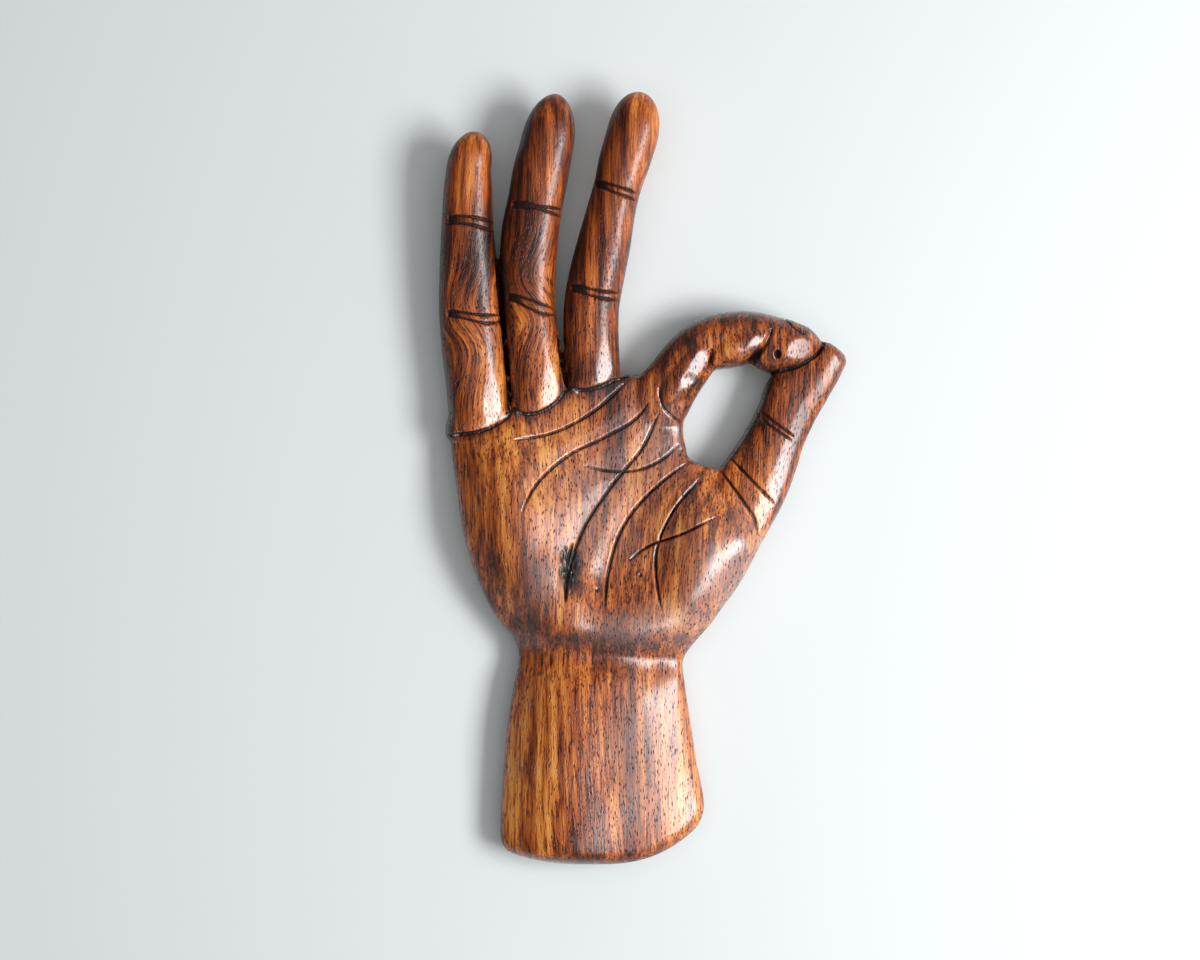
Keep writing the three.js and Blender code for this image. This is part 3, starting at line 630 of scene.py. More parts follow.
def between_ends(ends, share):
    return ends[0] + (ends[1] - ends[0]) * share


def depth_of(knife, spots, normals):
    """Depth of the groove and of the soft dip beside it, at every spot."""
    groove, dip = np.zeros(len(spots)), np.zeros(len(spots))
    plane, axis, way = SIDES[knife["side"]]
    flat = spots[:, plane]
    margin = max(knife["width"].max(), DIP_MARGIN * knife["reach"] if knife["soft"] else 0)
    inside = (flat > knife["line"].min(0) - margin) & (flat < knife["line"].max(0) + margin)
    near = np.flatnonzero(inside.all(axis=1) & (normals[:, axis] * way > FACING))
    if knife["side"] == "outer":
        near = near[spots[near, 1] > OUTER_FROM_Y]
    gap, share, _, length = along_line(flat[near], knife["line"])
    ends = np.minimum(share, 1 - share) * length / knife["taper"]
    fade = np.sqrt(np.clip(ends, 0, 1))
    width = between_ends(knife["width"], share) * (END_WIDTH + (1 - END_WIDTH) * fade)
    groove[near] = between_ends(knife["depth"], share) * fade * np.clip(1 - gap / width, 0, 1)
    dip[near] = knife["soft"] * np.exp(-((gap / knife["reach"]) ** 2)) * np.clip(ends, 0, 1)
    return groove, dip


def all_cuts(knives, spots, normals):
    groove, dip = np.zeros(len(spots)), np.zeros(len(spots))
    for knife in knives:
        one_groove, one_dip = depth_of(knife, spots, normals)
        groove = np.maximum(groove, one_groove)
        dip = np.maximum(dip, one_dip)
    return groove, dip


UP = np.array([(0, 0, 1.0)])
palm_line = cuts[0]["line"]
middle = np.array([(*palm_line[len(palm_line) // 2], 0)])
print("halfway, the first palm line is", all_cuts(cuts[:1], middle, UP)[0].round(2), "mm deep")

# %% [markdown]
# ## Notches, pads and pits
# Some forms are too small for a loft and too wide for a knife: the two notches inside the bent index
# finger, the pads between them, the small hole near its tip, the leaf-shaped hollows where a finger
# crease starts, and the pits of the knot. They are pushed in or out the same way, with a soft edge. A
# displacement picture could do it too, but these places are few and each is known in millimetres.

# %% Where the notches, pads and pits are
NOTCH_CUTS = [
    cut(NOTCHES[0], (1.6, 3.2), (0.9, 1.5), taper=1),
    cut(NOTCHES[1], (1.0, 2.8), (0.9, 2.2), taper=1),
]
PADS = [
    ((16.2, 39.5), (0.61, 0.79), 15.5, 5.6, 2.3), ((38.6, 51.6), (0.9, 0.43), 12.2, 5.4, 2.2),
    ((59, 49.6), (1, 0.15), 9.5, 6.6, 1.6),
]
PITS = [
    ((52, 48.5), (1.1, 1.5), 2.0), ((-17.4, -42.3), (0.7, 0.9), 0.6),
    ((-0.9, -36.5), (0.6, 0.9), 0.6),
]
KNOT_MIDDLE, KNOT_RADII = (-28.5, -35), (3.2, 9.5)
KNOT_PITS, KNOT_SEED = 22, 5
PIT_WIDTHS, PIT_LENGTHS, PIT_DEPTHS = (0.3, 0.8), (0.8, 2.2), (0.2, 0.6)


def scattered_pits():
    """Small ragged hollows inside the knot."""
    chance = np.random.default_rng(KNOT_SEED)
    angle = chance.uniform(0, 2 * np.pi, KNOT_PITS)
    reach = np.sqrt(chance.uniform(0, 1, KNOT_PITS))
    x = KNOT_MIDDLE[0] + np.cos(angle) * reach * KNOT_RADII[0]
    y = KNOT_MIDDLE[1] + np.sin(angle) * reach * KNOT_RADII[1]
    spans = (PIT_WIDTHS, PIT_LENGTHS, PIT_DEPTHS)
    wide, long, depth = (chance.uniform(*span, KNOT_PITS) for span in spans)
    return list(zip(zip(x, y), zip(wide, long), depth))


PITS += scattered_pits()
print(len(PADS), "pads,", len(PITS), "pits")

# %% How deep the small forms are
LEAF_DEPTH, LEAF_SHARE, LEAF_EDGE = 1.0, 0.6, 1.5


def leaf(pair, spots, normals):
    """The hollow between the two cuts of a crease, deepest at its pointed end."""
    upper, lower = (smooth_run(line) for line in pair)
    depth = np.zeros(len(spots))
    low, high = np.minimum(upper.min(0), lower.min(0)), np.maximum(upper.max(0), lower.max(0))
    inside = ((spots[:, :2] > low) & (spots[:, :2] < high)).all(axis=1) & (normals[:, 2] > FACING)
    near = np.flatnonzero(inside)
    over, share, _, _ = along_line(spots[near, :2], upper)
    under = along_line(spots[near, :2], lower)[0]
    spread = np.linalg.norm(upper[-1] - lower[-1])
    within = np.clip(1.0 - (over + under - spread) / LEAF_EDGE, 0, 1)
    depth[near] = LEAF_DEPTH * within * np.clip(1 - share / LEAF_SHARE, 0, 1)
    return depth


def pad(spots, middle, direction, half_length, half_width):
    """1 in the middle of a rounded pad, falling to 0 at its edge."""
    ahead = np.asarray(direction) / np.hypot(*direction)
    offset = spots[:, :2] - middle
    along = offset @ ahead / half_length
    across = offset @ (-ahead[1], ahead[0]) / half_width
    return np.clip(1 - along**2 - across**2, 0, 1)


def small_forms(spots, normals):
    """Depth of the notches, with the pads taken off it, of the pits and of the leaves."""
    up = normals[:, 2] > FACING
    notch = all_cuts(NOTCH_CUTS, spots, normals)[0]
    for *shape, height in PADS:
        notch = notch - height * pad(spots, *shape) * up
    pit = np.zeros(len(spots))
    for (x, y), (wide, long), depth in PITS:
        away = ((spots[:, 0] - x) / wide) ** 2 + ((spots[:, 1] - y) / long) ** 2
        pit = np.maximum(pit, depth * np.exp(-(away**2)) * up)
    hollow = sum(leaf(pair, spots, normals) for pair in CREASE_PAIRS)
    return notch, pit, hollow


hole = np.array([(*PITS[0][0], 0)])
print("the hole near the tip of the index finger is", small_forms(hole, UP)[1].round(2), "mm deep")

# %% [markdown]
# ## Chisel flats
# A perfectly round finger shows one thin line of light. On the real hand the shine lies in broad
# patches, because a chisel left soft flats that look to the right, on the finger roots and on the pads
# of the index finger. What stands above such a flat is pressed down onto it. A flatter loft would do,
# but a flat that is planed on afterwards can be moved without changing the finger.

# %% Plane the flats
LOOKS_RIGHT = (0.361, -0.06, 0.93)
FACETS = [
    ((22, 43), (7, 9), 1.4), ((17.5, 33), (6, 9), 1.3), ((39.5, 51.5), (10, 6), 1.2),
    ((33, 51), (7, 5), 1.2), ((61, 50), (10, 8), 1.6), ((10.5, 23.5), (4, 3), 0.6),
    ((-56.5, 33), (6, 13), 1.0), ((-36, 38), (6, 12), 1.0), ((-13.5, 45), (6, 11), 0.9),
]
FACET_SOFTNESS = 0.4
FACET_EDGE = 3
WORK_ABOVE = 11


def shave(spots):
    """Planes a soft flat onto the shoulders that look to the right, as a chisel leaves it."""
    for middle, radii, depth in FACETS:
        away = np.linalg.norm((spots[:, :2] - middle) / radii, axis=1)
        near = np.flatnonzero((away < 1) & (spots[:, 2] > WORK_ABOVE))
        reach = spots[near] @ LOOKS_RIGHT
        over = np.maximum(reach - reach.max() + depth, 0)
        edge = np.clip(FACET_EDGE - FACET_EDGE * away[near], 0, 1)
        spots[near] -= np.outer(over**2 / (over + FACET_SOFTNESS) * edge, LOOKS_RIGHT)
    return spots


print(len(FACETS), "flats, up to", max(depth for _, _, depth in FACETS), "mm deep")

# %% [markdown]
# ## The ledges at the finger roots
# The three straight fingers stand on the palm with a small wall, a ledge. The lofts run into the palm
# without one, so the wood below each root line is pared down to the palm's own height, and the wall
# is sanded a little, because the mesh would leave it jagged.

# %% Pare and sand the finger roots
STRAIGHT_ROOTS = ROOT_LINES[:3]
ROOT_WINDOW = 30
PARE_REACH, PARE_FADE = 9, 0.15
ROOT_SAND_REACH, ROOT_SAND_PASSES = 2.5, 4


def near_root(spots, line):
    """The points around a root line, their distance to it, their share of it and their side."""
    apart = np.abs(spots[:, :2] - np.mean(line, axis=0))
    near = np.flatnonzero((apart < ROOT_WINDOW).all(axis=1))
    return near, *along_line(spots[near, :2], smooth_run(line))[:3]


def pare_to_palm(spots):
    """Takes the wood below each finger root down to the palm, so the root ends in a small wall."""
    for line in STRAIGHT_ROOTS:
        near, gap, share, left = near_root(spots, line)
        ends = np.minimum(share, 1 - share)
        pared = (gap < PARE_REACH) & ~left & (ends > 0) & (spots[near, 2] > WORK_ABOVE)
        below = near[pared]
        level = palm_height(spots[below, 0], spots[below, 1])
        fade = np.clip(ends[pared] / PARE_FADE, 0, 1)
        spots[below, 2] -= fade * np.maximum(spots[below, 2] - level, 0)
    return spots


def sand_roots(mesh):
    """Evens out the small walls that the paring leaves."""
    spots = spots_of(mesh)
    rough = np.zeros(len(spots), bool)
    for line in STRAIGHT_ROOTS:
        near, gap, _, _ = near_root(spots, line)
        rough[near[gap < ROOT_SAND_REACH]] = True
    work = bmesh.new()
    work.from_mesh(mesh)
    work.verts.ensure_lookup_table()
    sanded = [work.verts[i] for i in np.flatnonzero(rough)]
    axes = dict(use_axis_x=True, use_axis_y=True, use_axis_z=True)
    for _ in range(ROOT_SAND_PASSES):
        bmesh.ops.smooth_vert(work, verts=sanded, factor=SANDING_SHARE, **axes)
    work.to_mesh(mesh)
    work.free()
    mesh.update()
    print("points sanded at the finger roots:", int(rough.sum()))


print(len(STRAIGHT_ROOTS), "ledges to pare, up to", PARE_REACH, "mm below their lines")

# %% [markdown]
# ## Cutting
# A groove that is narrower than the faces of the skin would be lost, so every edge that a knife, a
# notch or a pit passes is split first. A finer skin everywhere would work, but it would have four times
# the faces. The rest follows the carver's order: pare and sand the roots, cut, and plane the flats.

# %% Divide the skin where the knife passes
NEAR_CUT = 0.02


def divide_near_cuts(mesh):
    spots, normals = spots_of(mesh), spots_of(mesh, "normal")
    groove = all_cuts(cuts + NOTCH_CUTS, spots, normals)[0] + small_forms(spots, normals)[1]
    work = bmesh.new()
    work.from_mesh(mesh)
    near = [e for e in work.edges if max(groove[vert.index] for vert in e.verts) > NEAR_CUT]
    bmesh.ops.subdivide_edges(work, edges=near, cuts=1, use_grid_fill=True)
    work.to_mesh(mesh)
    work.free()
    mesh.update()


divide_near_cuts(hand)
print("divided skin:", len(hand.vertices), "points")

# %% Cut the lines
hand.vertices.foreach_set("co", pare_to_palm(spots_of(hand)).ravel())
sand_roots(hand)
spots, normals = spots_of(hand), spots_of(hand, "normal")
groove, dip = all_cuts(cuts, spots, normals)
notch, pit, hollow = small_forms(spots, normals)
spots = shave(spots - normals * (np.maximum(groove, hollow) + dip + notch + pit)[:, None])
spots[:, 2] = np.maximum(spots[:, 2], 0)
hand.vertices.foreach_set("co", (spots * MM).ravel())
hand.update()
print("deepest cut", groove.max().round(2), "mm; points in a cut:", int((groove > 0).sum()))

# %% [markdown]
# ## Light and dark wood, and painted shade
# The plank is pale along the outer ridge and the wrist, and dark across the straight fingers. Shade is
# painted into the colour as well: on the slope of the heel, where the wood is also darker, on the
# upper side of the bent index finger and on the inner side of the thumb, and as a painted shadow on
# the palm below the ledges. Dark stain has gathered in the cuts, and painted shade is added there, most
# along the ledge walls. A painted picture could hold this, but it would need an unwrapped skin, so each
# point of the skin keeps two numbers for the finish: how much lighter or darker the wood is there,
# painted shade included, and how deep the point lies in a cut, with the painted shade of the ledge
# walls added to it.

# %% Where the wood is light and dark, and where shade is painted
# Each row: x and y of the place, its half width and half length in mm, and how much lighter it is.
WOOD_TONE_AND_PAINTED_SHADE = [
    (-68, 87, 12, 17, -0.36), (-62, 118, 5, 14, 0.12), (-74, 40, 5, 30, -0.12),
    (-58, 44, 5, 18, 0.1), (-40, 132, 10, 19, -0.2), (-45, 98, 7, 14, -0.3), (-35, 98, 4, 22, 0.1),
    (-36, 50, 5, 18, 0.12), (-10, 128, 6, 16, 0.05), (-18, 52, 8, 14, 0.12),
    # Painted shade: (32, 64) on the upper side of the index finger and (44, 26) on the inner side of the
    # thumb.
    (-24, 88, 4, 30, -0.15), (32, 64, 24, 6, -0.34), (44, 26, 5, 16, -0.3), (58, 22, 6, 18, 0.08),
    # Darker wood with painted shade: (-10, -64) across the heel.
    (-36, 15, 26, 9, 0.1), (-54, -14, 5, 28, 0.14), (-64, -8, 6, 34, 0.26), (-10, -64, 46, 5, -0.2),
    (-50, -46, 8, 10, 0.08), (20, -36, 13, 16, 0.08), (24, -4, 12, 6, -0.06),
    (-49, -112, 6, 40, 0.28), (-41, -104, 2, 42, -0.06), (-37, -108, 6, 44, 0.32),
    (-21, -112, 2.5, 36, -0.14), (-14, -147, 50, 6, -0.12), (10, -120, 10, 30, 0.06),
    (-36, 100, 44, 48, -0.17), (-15, -138, 44, 12, -0.08), (-42, -10, 6, 22, 0.14),
    (10, -50, 20, 10, 0.08), (-5, 2, 6, 28, 0.16), (14, -22, 8, 18, 0.1), (-16, 100, 8, 14, -0.08),
    # Darker wood with painted shade: (-42, -55) and (-24, -61) on the heel.
    (42, 40, 40, 34, -0.16), (-42, -55, 12, 8, -0.22), (-24, -61, 14, 5, -0.2),
]
# The first pair paints a shadow on the palm below each straight finger root. The next ones set how
# strongly the ledge walls, the leaf hollows and the notches count in the cut value, which darkens the
# colour: the ledge walls with painted shade, the leaves and notches with stain and painted shade.
LEDGE_PAINTED_SHADOW, LEDGE_REACH = 0.35, 3.0
LEDGE_WALL_PAINTED_SHADE, LEDGE_WALL = 1.3, 0.6
LEAF_STAIN_AND_SHADE, NOTCH_STAIN_AND_SHADE = 0.9, 0.35


def keep_on_points(name, values):
    """Stores one number per point of the hand, for the finish to read."""
    layer = hand.attributes.new(name, "FLOAT", "POINT")
    layer.data.foreach_set("value", values.astype(np.float32))
    print(name, "runs from", values.min().round(2), "to", values.max().round(2))


figure, ledge = np.zeros(len(spots)), np.zeros(len(spots))
for x, y, wide, long, amount in WOOD_TONE_AND_PAINTED_SHADE:
    figure += amount * np.exp(-(((spots[:, 0] - x) / wide) ** 2) - ((spots[:, 1] - y) / long) ** 2)
# Painted shadow on the palm below each straight finger root, and painted shade along its ledge wall.
for line in STRAIGHT_ROOTS:
    gap, _, left, _ = along_line(spots[:, :2], smooth_run(line))
    figure -= LEDGE_PAINTED_SHADOW * np.exp(-((gap / LEDGE_REACH) ** 2)) * ~left
    ledge = np.maximum(ledge, np.exp(-((gap / LEDGE_WALL) ** 2)) * (normals[:, 2] > FACING))
# The cut value: depth of the cuts, leaves, pits and notches, with the painted shade of the ledge walls.
in_cuts_and_ledge_shade = [groove, hollow * LEAF_STAIN_AND_SHADE, pit, notch * NOTCH_STAIN_AND_SHADE, ledge * LEDGE_WALL_PAINTED_SHADE]
keep_on_points("cut", np.max(in_cuts_and_ledge_shade, axis=0))
keep_on_points("figure", figure)

# %% [markdown]
# ## Seven pieces
# The construction model parts the carving along its own cut lines. Every face of the skin goes to the
# construction node that it lies nearest to, and each piece is closed with a cap, so that it is a
# solid of its own. The shading normals of the whole hand are kept on the pieces, or a seam would show.

# %% Part the skin by the nearest node
node_names = sorted(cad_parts)


def nearest_node(mesh):
    """The number of the construction node that each face lies nearest to."""
    trees = []
    for name in node_names:
        cage = bmesh.new()
        cage.from_mesh(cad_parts[name].data)
        trees.append(BVHTree.FromBMesh(cage))
        cage.free()
    centres = [face.center for face in mesh.polygons]
    gaps = np.array([[tree.find_nearest(spot)[3] for tree in trees] for spot in centres])
    return gaps.argmin(axis=1)


owner = nearest_node(hand)
print({name: int((owner == i).sum()) for i, name in enumerate(node_names)})

# %% Settle the edges between the pieces
SETTLING_PASSES = 12
OWN_VOTE = 1.5


def settle(mesh, owner):
    """Lets each face follow its neighbours, and leaves no point where a piece touches itself."""
    work = bmesh.new()
    work.from_mesh(mesh)
    pairs = np.array([[face.index for face in edge.link_faces] for edge in work.edges])
    for _ in range(SETTLING_PASSES):
        votes = np.zeros((len(owner), len(node_names)))
        np.add.at(votes, (pairs[:, 0], owner[pairs[:, 1]]), 1)
        np.add.at(votes, (pairs[:, 1], owner[pairs[:, 0]]), 1)
        votes[np.arange(len(owner)), owner] += OWN_VOTE
        owner = votes.argmax(axis=1)
    work.edges.ensure_lookup_table()
    work.faces.ensure_lookup_table()
    while True:
        mixed = np.flatnonzero(owner[pairs[:, 0]] != owner[pairs[:, 1]])
        pinched = 0
        for vert in dict.fromkeys(vert for edge in mixed for vert in work.edges[edge].verts):
            around = [face.index for face in vert.link_faces]
            sides = [edge.link_faces for edge in vert.link_edges]
            changes = sum(owner[a.index] != owner[b.index] for a, b in sides)
            if changes > max(len(np.unique(owner[around])), 2):
                owner[around] = np.bincount(owner[around]).argmax()
                pinched += 1
        if not pinched:
            work.free()
            return owner


owner = settle(hand, owner)
whole_normals = spots_of(hand, "normal")
print("settled:", {name: int((owner == i).sum()) for i, name in enumerate(node_names)})


# %% Close each piece
def rim_loops(work):
    """The closed loops of edges where a piece was parted."""
    left = dict.fromkeys(edge for edge in work.edges if edge.is_boundary)
    while left:
        edge, _ = left.popitem()
        loop = [edge]
        vert = edge.verts[1]
        while vert != edge.verts[0]:
            step = next(e for e in vert.link_edges if e in left)
            del left[step]
            loop.append(step)
            vert = step.other_vert(vert)
        yield loop


def piece_of(name, mine):
    """A closed object from the faces that are its own, shaded as the whole hand is."""
    work = bmesh.new()
    work.from_mesh(hand)
    kept = work.verts.layers.float_vector.new("whole")
    for vert in work.verts:
        vert[kept] = whole_normals[vert.index]
    strays = [face for face in work.faces if not mine[face.index]]
    bmesh.ops.delete(work, geom=strays, context="FACES")
    caps = set()
    for loop in list(rim_loops(work)):
        middle = sum((vert.co for edge in loop for vert in edge.verts), Vector()) / (2 * len(loop))
        hub = work.verts.new(middle)
        for edge in loop:
            edge.smooth = False
            corner = edge.link_loops[0]
            caps.add(work.faces.new((corner.link_loop_next.vert, corner.vert, hub)))
    work.normal_update()
    for face in work.faces:
        face.smooth = face not in caps
    work.faces.index_update()
    shading = []
    for face in work.faces:
        shading += [face.normal[:] if face in caps else vert[kept][:] for vert in face.verts]
    open_edges = sum(not edge.is_manifold for edge in work.edges)
    mesh = bpy.data.meshes.new(name)
    work.to_mesh(mesh)
    work.free()
    mesh.normals_split_custom_set(shading)
    piece = bpy.data.objects.new("carved_" + name, mesh)
    bpy.context.scene.collection.objects.link(piece)
    print(name, len(mesh.polygons), "faces,", len(caps), "in caps, open edges:", open_edges)
    return piece


pieces = {name: piece_of(name, owner == i) for i, name in enumerate(node_names)}
for name, piece in pieces.items():
    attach(piece, "root")
    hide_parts(name)

# %% [markdown]
# ## Writing a finish as sums
# A wood finish is a long sum of patterns. One small class wraps a node socket, so that a Python
# expression such as `1 - pores * 0.5` adds the Math nodes by itself. Every other node comes from one
# method, which sets the node's options first and then its sockets.


# %% A socket that can be added and multiplied
class Pattern:
    """A value in the node tree of a finish."""

    def __init__(self, tree, socket):
        self.tree = tree
        self.socket = socket

    def node(self, kind, options=None, out=0, **sockets):
        return add_node(self.tree, kind, options, out, **sockets)

    def math(self, operation, other=0.0, flipped=False):
        """A Math node on this value and another one, which comes first when flipped."""
        first, second = (other, self) if flipped else (self, other)
        return self.node("ShaderNodeMath", dict(operation=operation), i0=first, i1=second)

    def __add__(self, other):
        return self.math("ADD", other)

    def __sub__(self, other):
        return self.math("SUBTRACT", other)

    def __rsub__(self, other):
        return self.math("SUBTRACT", other, flipped=True)

    def __mul__(self, other):
        return self.math("MULTIPLY", other)

    def __truediv__(self, other):
        return self.math("DIVIDE", other)

    def __pow__(self, power):
        return self.math("POWER", power)

    def __rpow__(self, base):
        return self.math("POWER", base, flipped=True)

    __radd__ = __add__

    def between(self, low, high):
        """0 below low, 1 above high, eased between them."""
        options = dict(interpolation_type="SMOOTHSTEP", clamp=True)
        sockets = {"Value": self, "From Min": low, "From Max": high}
        return self.node("ShaderNodeMapRange", options, **sockets)


# %% One way to add a node
def feed(tree, socket, value):
    """Links a pattern to a socket, or sets the socket to a plain value."""
    if isinstance(value, Pattern):
        tree.links.new(value.socket, socket)
    else:
        socket.default_value = value


def add_node(tree, kind, options=None, out=0, **sockets):
    """A node with its options and then its sockets, which go by name or by place, as in i0."""
    node = tree.nodes.new(kind)
    for name, value in (options or {}).items():
        if name == "stops":
            ramp = node.color_ramp.elements
            while len(ramp) < len(value):
                ramp.new(0.5)
            for stop, (place, colour) in zip(ramp, value):
                stop.position = place
                stop.color = colour
        else:
            setattr(node, name, value)
    for name, value in sockets.items():
        by_place = name[0] == "i" and name[1:].isdigit()
        feed(tree, node.inputs[int(name[1:]) if by_place else name], value)
    return Pattern(tree, node.outputs[out])


def shade(red, green, blue):
    """A colour as it looks on a screen, 0 to 255, turned into the light values Blender uses."""
    share = np.array([red, green, blue]) / 255
    light = np.where(share <= 0.04045, share / 12.92, ((share + 0.055) / 1.055) ** 2.4)
    return (*light.tolist(), 1.0)


print("a middle grey on the screen is", round(shade(128, 128, 128)[0], 3), "in light")

# %% [markdown]
# ## The lacquered wood
# The plank's fibres run along the hand, from the wrist to the fingertips. Because the patterns are
# worked out in space and not on the surface, the figure runs straight through a bent finger, and the
# tips show end grain, as in solid wood. Broad bands, streaks and fibres are noise stretched along the
# fibre. The pores are small dark dashes: cells stretched the same way, seen near their middles.

# %% The grain of the plank
wood = bpy.data.materials.new("lacquered_wood")
wood.use_nodes = True
wood_tree = wood.node_tree
wood_tree.nodes.clear()
place = add_node(wood_tree, "ShaderNodeTexCoord", out="Object")
place_mm = place.node("ShaderNodeVectorMath", dict(operation="SCALE"), i0=place, Scale=1 / MM)
DEPTH_STRETCH = 2.2


def along_axis(vector, axis):
    """One of the three numbers of a vector: 0 for x, 1 for y, 2 for z."""
    return vector.node("ShaderNodeSeparateXYZ", None, axis, Vector=vector)


x_mm, y_mm, z_mm = (along_axis(place_mm, axis) for axis in range(3))


def stretched(x, across, along, shift=0.0):
    """A place measured in units of a given size across and along the fibres."""
    deep = z_mm / (across * DEPTH_STRETCH)
    return place.node("ShaderNodeCombineXYZ", X=x / across + shift, Y=y_mm / along, Z=deep)


def noise(x, across, along, detail=2.0, rough=0.5, shift=0.0):
    """Noise with a given size across and along the fibres, in mm, around 0.5."""
    vector = stretched(x, across, along, shift)
    sockets = {"Vector": vector, "Scale": 1.0, "Detail": detail, "Roughness": rough}
    return place.node("ShaderNodeTexNoise", None, "Fac", **sockets)


SPOT_EDGE = 0.37


def spot_mask(centre, radii):
    """1 in the middle of a soft spot and 0 well outside it."""
    shift = place.node("ShaderNodeVectorMath", dict(operation="SUBTRACT"), i0=place_mm, i1=centre)
    shrunk = place.node("ShaderNodeVectorMath", dict(operation="DIVIDE"), i0=shift, i1=radii)
    away = place.node("ShaderNodeVectorMath", dict(operation="LENGTH"), 1, i0=shrunk)
    return SPOT_EDGE ** (away * away)


SWIRLS = [((-68, 58, 24), (12, 15, 30), 0.8), ((-42, 70, 24), (10, 14, 30), 0.8)]
SWAY = 14
fibre_x = x_mm + (noise(x_mm, 70, 150, detail=1.0) - 0.5) * SWAY
for centre, radii, slope in SWIRLS:
    fibre_x = fibre_x + spot_mask(centre, radii) * (y_mm - centre[1]) * slope

broad = noise(fibre_x, 14, 150)
streak = noise(fibre_x, 2.6, 60, detail=3.0, rough=0.6, shift=3.0)
fibre = noise(fibre_x, 0.65, 12, rough=0.65, shift=7.0)
print("the grain has", len(wood_tree.nodes), "nodes")

# %% The growth rings
PITH_X, PITH_Z = -20, -45
RING_WIDTH, RING_WAVER = 5.5, 2.4
ring_x, ring_z = fibre_x - PITH_X, z_mm - PITH_Z
years = (ring_x * ring_x + ring_z * ring_z) ** 0.5 / RING_WIDTH + (broad - 0.5) * RING_WAVER
season = years.math("FRACT")
late_wood = season.between(0.35, 0.95) * (1 - season.between(0.95, 1.0))
print("with growth rings:", len(wood_tree.nodes), "nodes")

# %% The pores
FINE_PORE, FINE_SHARE = (0.75, 2.3), 0.6
OPEN_PORE = (1.15, 3.6)
POLISHED_FROM_Y, PORES_POLISHED, FIBRES_POLISHED = (55.0, 105.0), 0.55, 0.45


def pores(size, small, large, shift):
    """Dark dashes: cells stretched along the fibre, seen near their middles."""
    vector = stretched(fibre_x, *size, shift)
    middle = place.node("ShaderNodeTexVoronoi", None, "Distance", Vector=vector, Scale=1.0)
    return 1 - middle.between(small, large)


polished = y_mm.between(*POLISHED_FROM_Y)
pore = pores(FINE_PORE, 0.12, 0.36, 0.0) * FINE_SHARE
pore = pore.math("MAXIMUM", pores(OPEN_PORE, 0.11, 0.28, 11.0)) * (1 - polished * PORES_POLISHED)
fibre_line = fibre.between(0.46, 0.7) * (1 - polished * FIBRES_POLISHED)
print("with pores:", len(wood_tree.nodes), "nodes")

# %% [markdown]
# ## The stain
# The stain is one scale of browns, from nearly black to honey. Every pattern pushes the tone up or down
# that scale, so all of them share the same family of colours, as one pot of stain would give. Mixing a
# colour for each pattern would work too, but then the colours would soon drift apart. Steep, low and
# left-facing sides are pushed darker as painted shade, and the cuts darkest, with stain and painted shade.

# %% The tone of the wood, with painted shade on steep, low and left-facing sides
PLAIN_TONE = 0.7
BAND_CONTRAST, STREAK_CONTRAST, FIBRE_SHADE = 0.9, 1.4, 0.46
LATE_WOOD_SHADE, PORE_SHADE = 0.12, 0.44
STEEP_SIDE_PAINTED_SHADE, LEFT_SIDE_PAINTED_SHADE, LOW_PAINTED_SHADE = 0.25, 0.22, 0.15
facing = place.node("ShaderNodeNewGeometry", None, "Normal")
leftward = along_axis(facing, 0) * -1
steep = 1 - along_axis(facing, 2).math("ABSOLUTE").between(0.0, 0.75)
low = 1 - z_mm.between(1.0, 12.0)
painted_shade_and_figure_layer = place.node("ShaderNodeAttribute", dict(attribute_name="figure"), "Fac")
tone = PLAIN_TONE + painted_shade_and_figure_layer + (broad - 0.5) * BAND_CONTRAST + (streak - 0.5) * STREAK_CONTRAST
tone = tone - fibre_line * FIBRE_SHADE - late_wood * LATE_WOOD_SHADE - pore * PORE_SHADE
# Painted shade: steep sides, sides that face left and the lowest points are darker.
tone = tone - steep * STEEP_SIDE_PAINTED_SHADE - leftward.between(0.2, 0.9) * LEFT_SIDE_PAINTED_SHADE - low * LOW_PAINTED_SHADE
print("with the tone:", len(wood_tree.nodes), "nodes")

# %% The colours of the stain, with the cuts darkened by stain and painted shade
CUT_STAIN_AND_PAINTED_SHADE, DEEP_GAP_PAINTED_SHADE = 0.62, 0.4
TONES = [
    (0.0, shade(32, 14, 9)), (0.25, shade(82, 33, 13)), (0.5, shade(145, 66, 21)),
    (0.75, shade(204, 110, 38)), (1.0, shade(234, 160, 74)),
]
cut_depth_and_ledge_shade = place.node("ShaderNodeAttribute", dict(attribute_name="cut"), "Fac")
stain_and_shade_in_cuts, deep = cut_depth_and_ledge_shade.between(0.1, 0.9), cut_depth_and_ledge_shade.between(1.2, 2.6)
# The cuts are darkened as stain and painted shade; the deepest, the gaps between the fingers, get more
# painted shade.
tone = tone - stain_and_shade_in_cuts * CUT_STAIN_AND_PAINTED_SHADE - cut_depth_and_ledge_shade.between(1.5, 3.5) * DEEP_GAP_PAINTED_SHADE
wood_colour = place.node("ShaderNodeValToRGB", dict(stops=TONES), Fac=tone)
print("the stain has", len(TONES), "browns")

# %% [markdown]
# ## The knot and the painted sheen
# Beside one palm line lies a dead knot, nearly black, with a frayed edge. Over the palm, the ball of the
# thumb and the wrist, a pale grey sheen is painted into the colour, and only the pores and the cuts stay
# dark in it. Both are a colour laid over the wood. A soft spot says where, and noise frays the edge of
# the knot. A second material would need its own faces and would end in a hard line.

# %% The knot
KNOT = ((-27.5, -35, 21), (7, 14, 9))
KNOT_COLOUR = shade(34, 26, 24)
KNOT_CORE, KNOT_FRAY, KNOT_LEVEL = 1.5, 1.6, 0.4


def laid_over(below, colour, share):
    """A colour laid over another one, by a share between 0 and 1."""
    return place.node("ShaderNodeMix", dict(data_type="RGBA"), 2, i0=share, i6=below, i7=colour)


